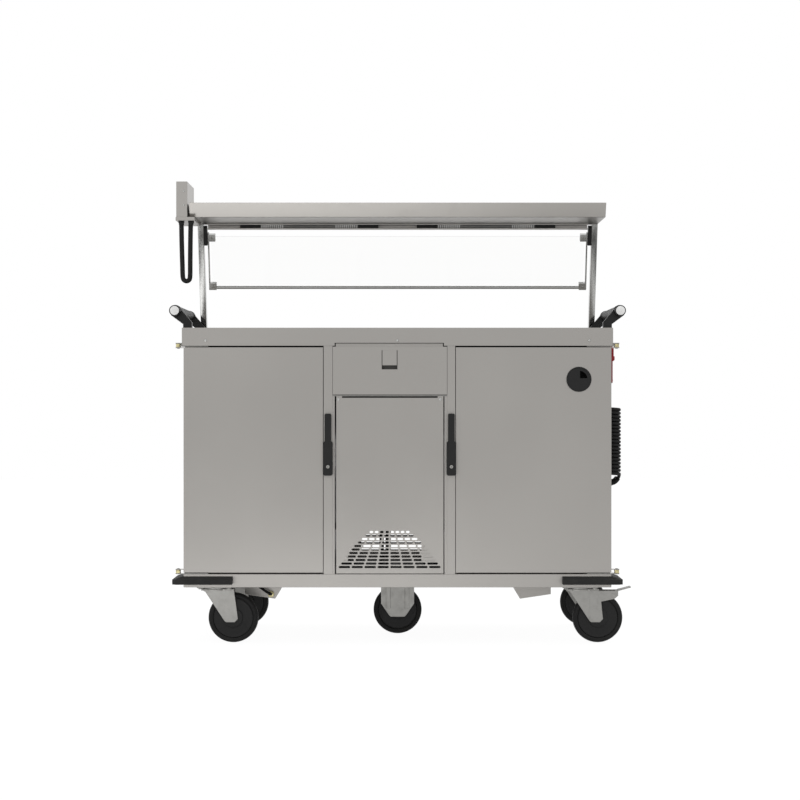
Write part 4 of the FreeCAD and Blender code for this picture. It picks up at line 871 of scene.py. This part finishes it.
class CART_OT_castors(bpy.types.Operator):
    """Castor plates, forks, pedals and wheels"""
    bl_idname = "cart.castors"
    bl_label = "Castors"

    def execute(self, context):
        edge = sizes().thin_edge
        refine("castor_plates", "zinc", edge)
        refine("centre_fork", "zinc", 0.0008)
        corners = {"front_left": (-1, -1), "front_right": (1, -1), "rear_left": (-1, 1),
                   "rear_right": (1, 1)}
        heads = []
        for where, (x, y) in corners.items():
            refine(f"fork_{where}", "zinc", 0.0008)
            middle = Vector((x * 0.583, y * 0.273, 0))
            axle = middle + Vector((0.0575, 0, 0.080))
            self.wheel(f"wheel_{where}", axle)
            heads += [facing(middle + Vector((dx, dy, 0.177)), (0, 0, -1))
                      for dx in (-0.046, 0.046) for dy in (-0.040, 0.040)]
            if x > 0:
                refine(f"brake_pedal_{where}", "zinc", edge)
        bolts("castor_bolts", heads, 0.0062, 0.0044, "cart")
        self.wheel("wheel_centre", Vector((0, 0, 0.080)))
        return {"FINISHED"}

    def wheel(self, node, axle):
        """A tyre with a crowned tread, and a dished centre with a raised hub."""
        steps = sizes().wheel_steps
        place = [facing(axle, (0, 1, 0))]
        side = [(62.2, 13.2), (63.9, 13.4), (64.9, 17.6), (66.4, 18.6), (72.5, 18.6), (75.6, 17.2),
                (78.2, 13.6), (79.6, 7.5), (80, 2.5)]
        tyre = side + [(r, -y) for r, y in reversed(side)]
        turned(f"{node}_tyre", [(r * MM, y * MM) for r, y in tyre], place, node, "tyre",
               steps)
        face = [(6.1, 22), (11, 22), (12, 21), (13.4, 21), (14.4, 22), (28, 22), (30, 21),
                (31, 17.6), (33, 16.4), (52, 15.6), (60, 15.6), (61.8, 16.8), (62.8, 16.4),
                (63.1, 13.2)]
        centre = face + [(r, -y) for r, y in reversed(face)]
        turned(f"{node}_disc", [(r * MM, y * MM) for r, y in centre], place, node, "hub_plastic",
               steps, (node,))


class CART_OT_bumpers(bpy.types.Operator):
    """Corner bumpers"""
    bl_idname = "cart.bumpers"
    bl_label = "Bumpers"

    def execute(self, context):
        refine("corner_bumpers", "bumper_rubber", 0.001, segments=3)
        return {"FINISHED"}


class CART_OT_stage(bpy.types.Operator):
    """White floor and background, soft lamps and the camera"""
    bl_idname = "cart.stage"
    bl_label = "Stage"

    def execute(self, context):
        self.floor()
        self.world()
        for name, place, aim, size, power in (
            ("front_softbox", (-2.4, -5.2, 3.4), (0, 0, 0.7), 4.5, 14),
            ("top_softbox", (0.3, 1.2, 4.2), (0, 0, 0.9), 3.5, 14),
        ):
            self.lamp(name, place, aim, size, power)
        self.camera()
        return {"FINISHED"}

    def seen(self, shader):
        """1 for camera, mirror and see-through rays, 0 for the light that shades a surface."""
        path = [shader.node("ShaderNodeLightPath", {}, {}, name)
                for name in ("Is Camera Ray", "Is Glossy Ray", "Is Transmission Ray")]
        return path[0].maths("MAXIMUM", path[0].maths("MAXIMUM", path[0], path[1]), path[2])

    def floor(self):
        mesh = bmesh.new()
        bmesh.ops.create_grid(mesh, x_segments=1, y_segments=1, size=14)
        data = bpy.data.meshes.new("floor")
        mesh.to_mesh(data)
        mesh.free()
        floor = bpy.data.objects.new("floor", data)
        bpy.context.scene.collection.objects.link(floor)
        shader = new_finish("floor_white")
        paint = shader.principled(Base_Color=(0.82, 0.82, 0.82, 1), Roughness=0.7)
        glow = shader.node("ShaderNodeEmission", {}, {
            "Color": (1, 1, 1, 1), "Strength": self.added_light(shader) + self.FLOOR_GLOW})
        share = self.seen(shader) * 0.9
        data.materials.append(shader.done(
            shader.node("ShaderNodeMixShader", {}, {0: share, 1: paint, 2: glow})))

    FLOOR_GLOW = 1.06
    PATCH_STRENGTH, PATCH_FADE, DIMMING = 2.05, 1.65, 0.28

    def added_light(self, shader):
        """Light that only glossy rays see: a patch before the cart, brighter than white.

        It isn't the background, which has a strength of 1: it adds light to the steel, for the
        gradient on the canopy's face, and so departs from an even, plain lighting. report.md names
        it as a departure from the lighting rule. Glossy rays see the rest of the floor dimmer.
        """
        mirror = shader.node("ShaderNodeLightPath", {}, {}, "Is Glossy Ray")
        here = shader.node("ShaderNodeTexCoord", {}, {}, "Object")
        x = shader.node("ShaderNodeSeparateXYZ", {}, {"Vector": here}, "X")
        y = shader.node("ShaderNodeSeparateXYZ", {}, {"Vector": here}, "Y")
        near = y.above(-1.9, -1.5) * (1 - y.above(-1.05, -0.8))
        fade = x.above(-0.5, 0.9) * self.PATCH_FADE
        return mirror * (near * (self.PATCH_STRENGTH - fade) - self.DIMMING)

    def world(self):
        shader = Shader(bpy.data.worlds.new("studio"))
        sky = shader.node("ShaderNodeBackground", {}, {"Color": (1, 1, 1, 1), "Strength": 1.0})
        bpy.context.scene.world = shader.done(sky, "ShaderNodeOutputWorld")

    def lamp(self, name, place, aim, size, power):
        light = bpy.data.lights.new(name, "AREA")
        light.shape = "DISK"
        light.size = size
        light.energy = power
        lamp = bpy.data.objects.new(name, light)
        lamp.matrix_world = facing(place, Vector(place) - Vector(aim))
        bpy.context.scene.collection.objects.link(lamp)

    def camera(self):
        """Level with the cart's middle and seven metres from its doors, on a long lens."""
        data = bpy.data.cameras.new("camera")
        data.lens = 99.4
        data.sensor_width = 36
        data.clip_end = 100
        camera = bpy.data.objects.new("camera", data)
        camera.location = (0.008, -7.355, 0.776)
        camera.rotation_euler = (math.pi / 2, 0, 0)
        bpy.context.scene.collection.objects.link(camera)
        bpy.context.scene.camera = camera


OPERATORS = (
    CART_OT_cabinet, CART_OT_deck, CART_OT_middle_bay, CART_OT_cooling, CART_OT_doors,
    CART_OT_hinges, CART_OT_handles, CART_OT_canopy, CART_OT_guard, CART_OT_switch,
    CART_OT_cords, CART_OT_castors, CART_OT_bumpers, CART_OT_stage,
)


class CART_PT_panel(bpy.types.Panel):
    """The settings and one button for each group of pieces"""
    bl_idname = "CART_PT_panel"
    bl_label = "Salad Bar"
    bl_space_type = "VIEW_3D"
    bl_region_type = "UI"
    bl_category = "Salad Bar"

    def draw(self, context):
        layout = self.layout
        for group in (context.scene.cart_sizes, context.scene.cart_colours):
            box = layout.box()
            for name in group.bl_rna.properties.keys():
                if name not in ("rna_type", "name"):
                    box.prop(group, name)
        for operator in OPERATORS:
            layout.operator(operator.bl_idname)


CLASSES = (CartSizes, CartColours, *OPERATORS, CART_PT_panel)


def register():
    for made in CLASSES:
        bpy.utils.register_class(made)
    bpy.types.Scene.cart_sizes = bpy.props.PointerProperty(type=CartSizes)
    bpy.types.Scene.cart_colours = bpy.props.PointerProperty(type=CartColours)


def unregister():
    del bpy.types.Scene.cart_colours
    del bpy.types.Scene.cart_sizes
    for made in reversed(CLASSES):
        bpy.utils.unregister_class(made)


def main():
    """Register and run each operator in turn."""
    register()
    bpy.context.scene.view_settings.view_transform = "Standard"
    for operator in OPERATORS:
        group, name = operator.bl_idname.split(".")
        getattr(getattr(bpy.ops, group), name)()


if __name__ == "__main__":
    main()
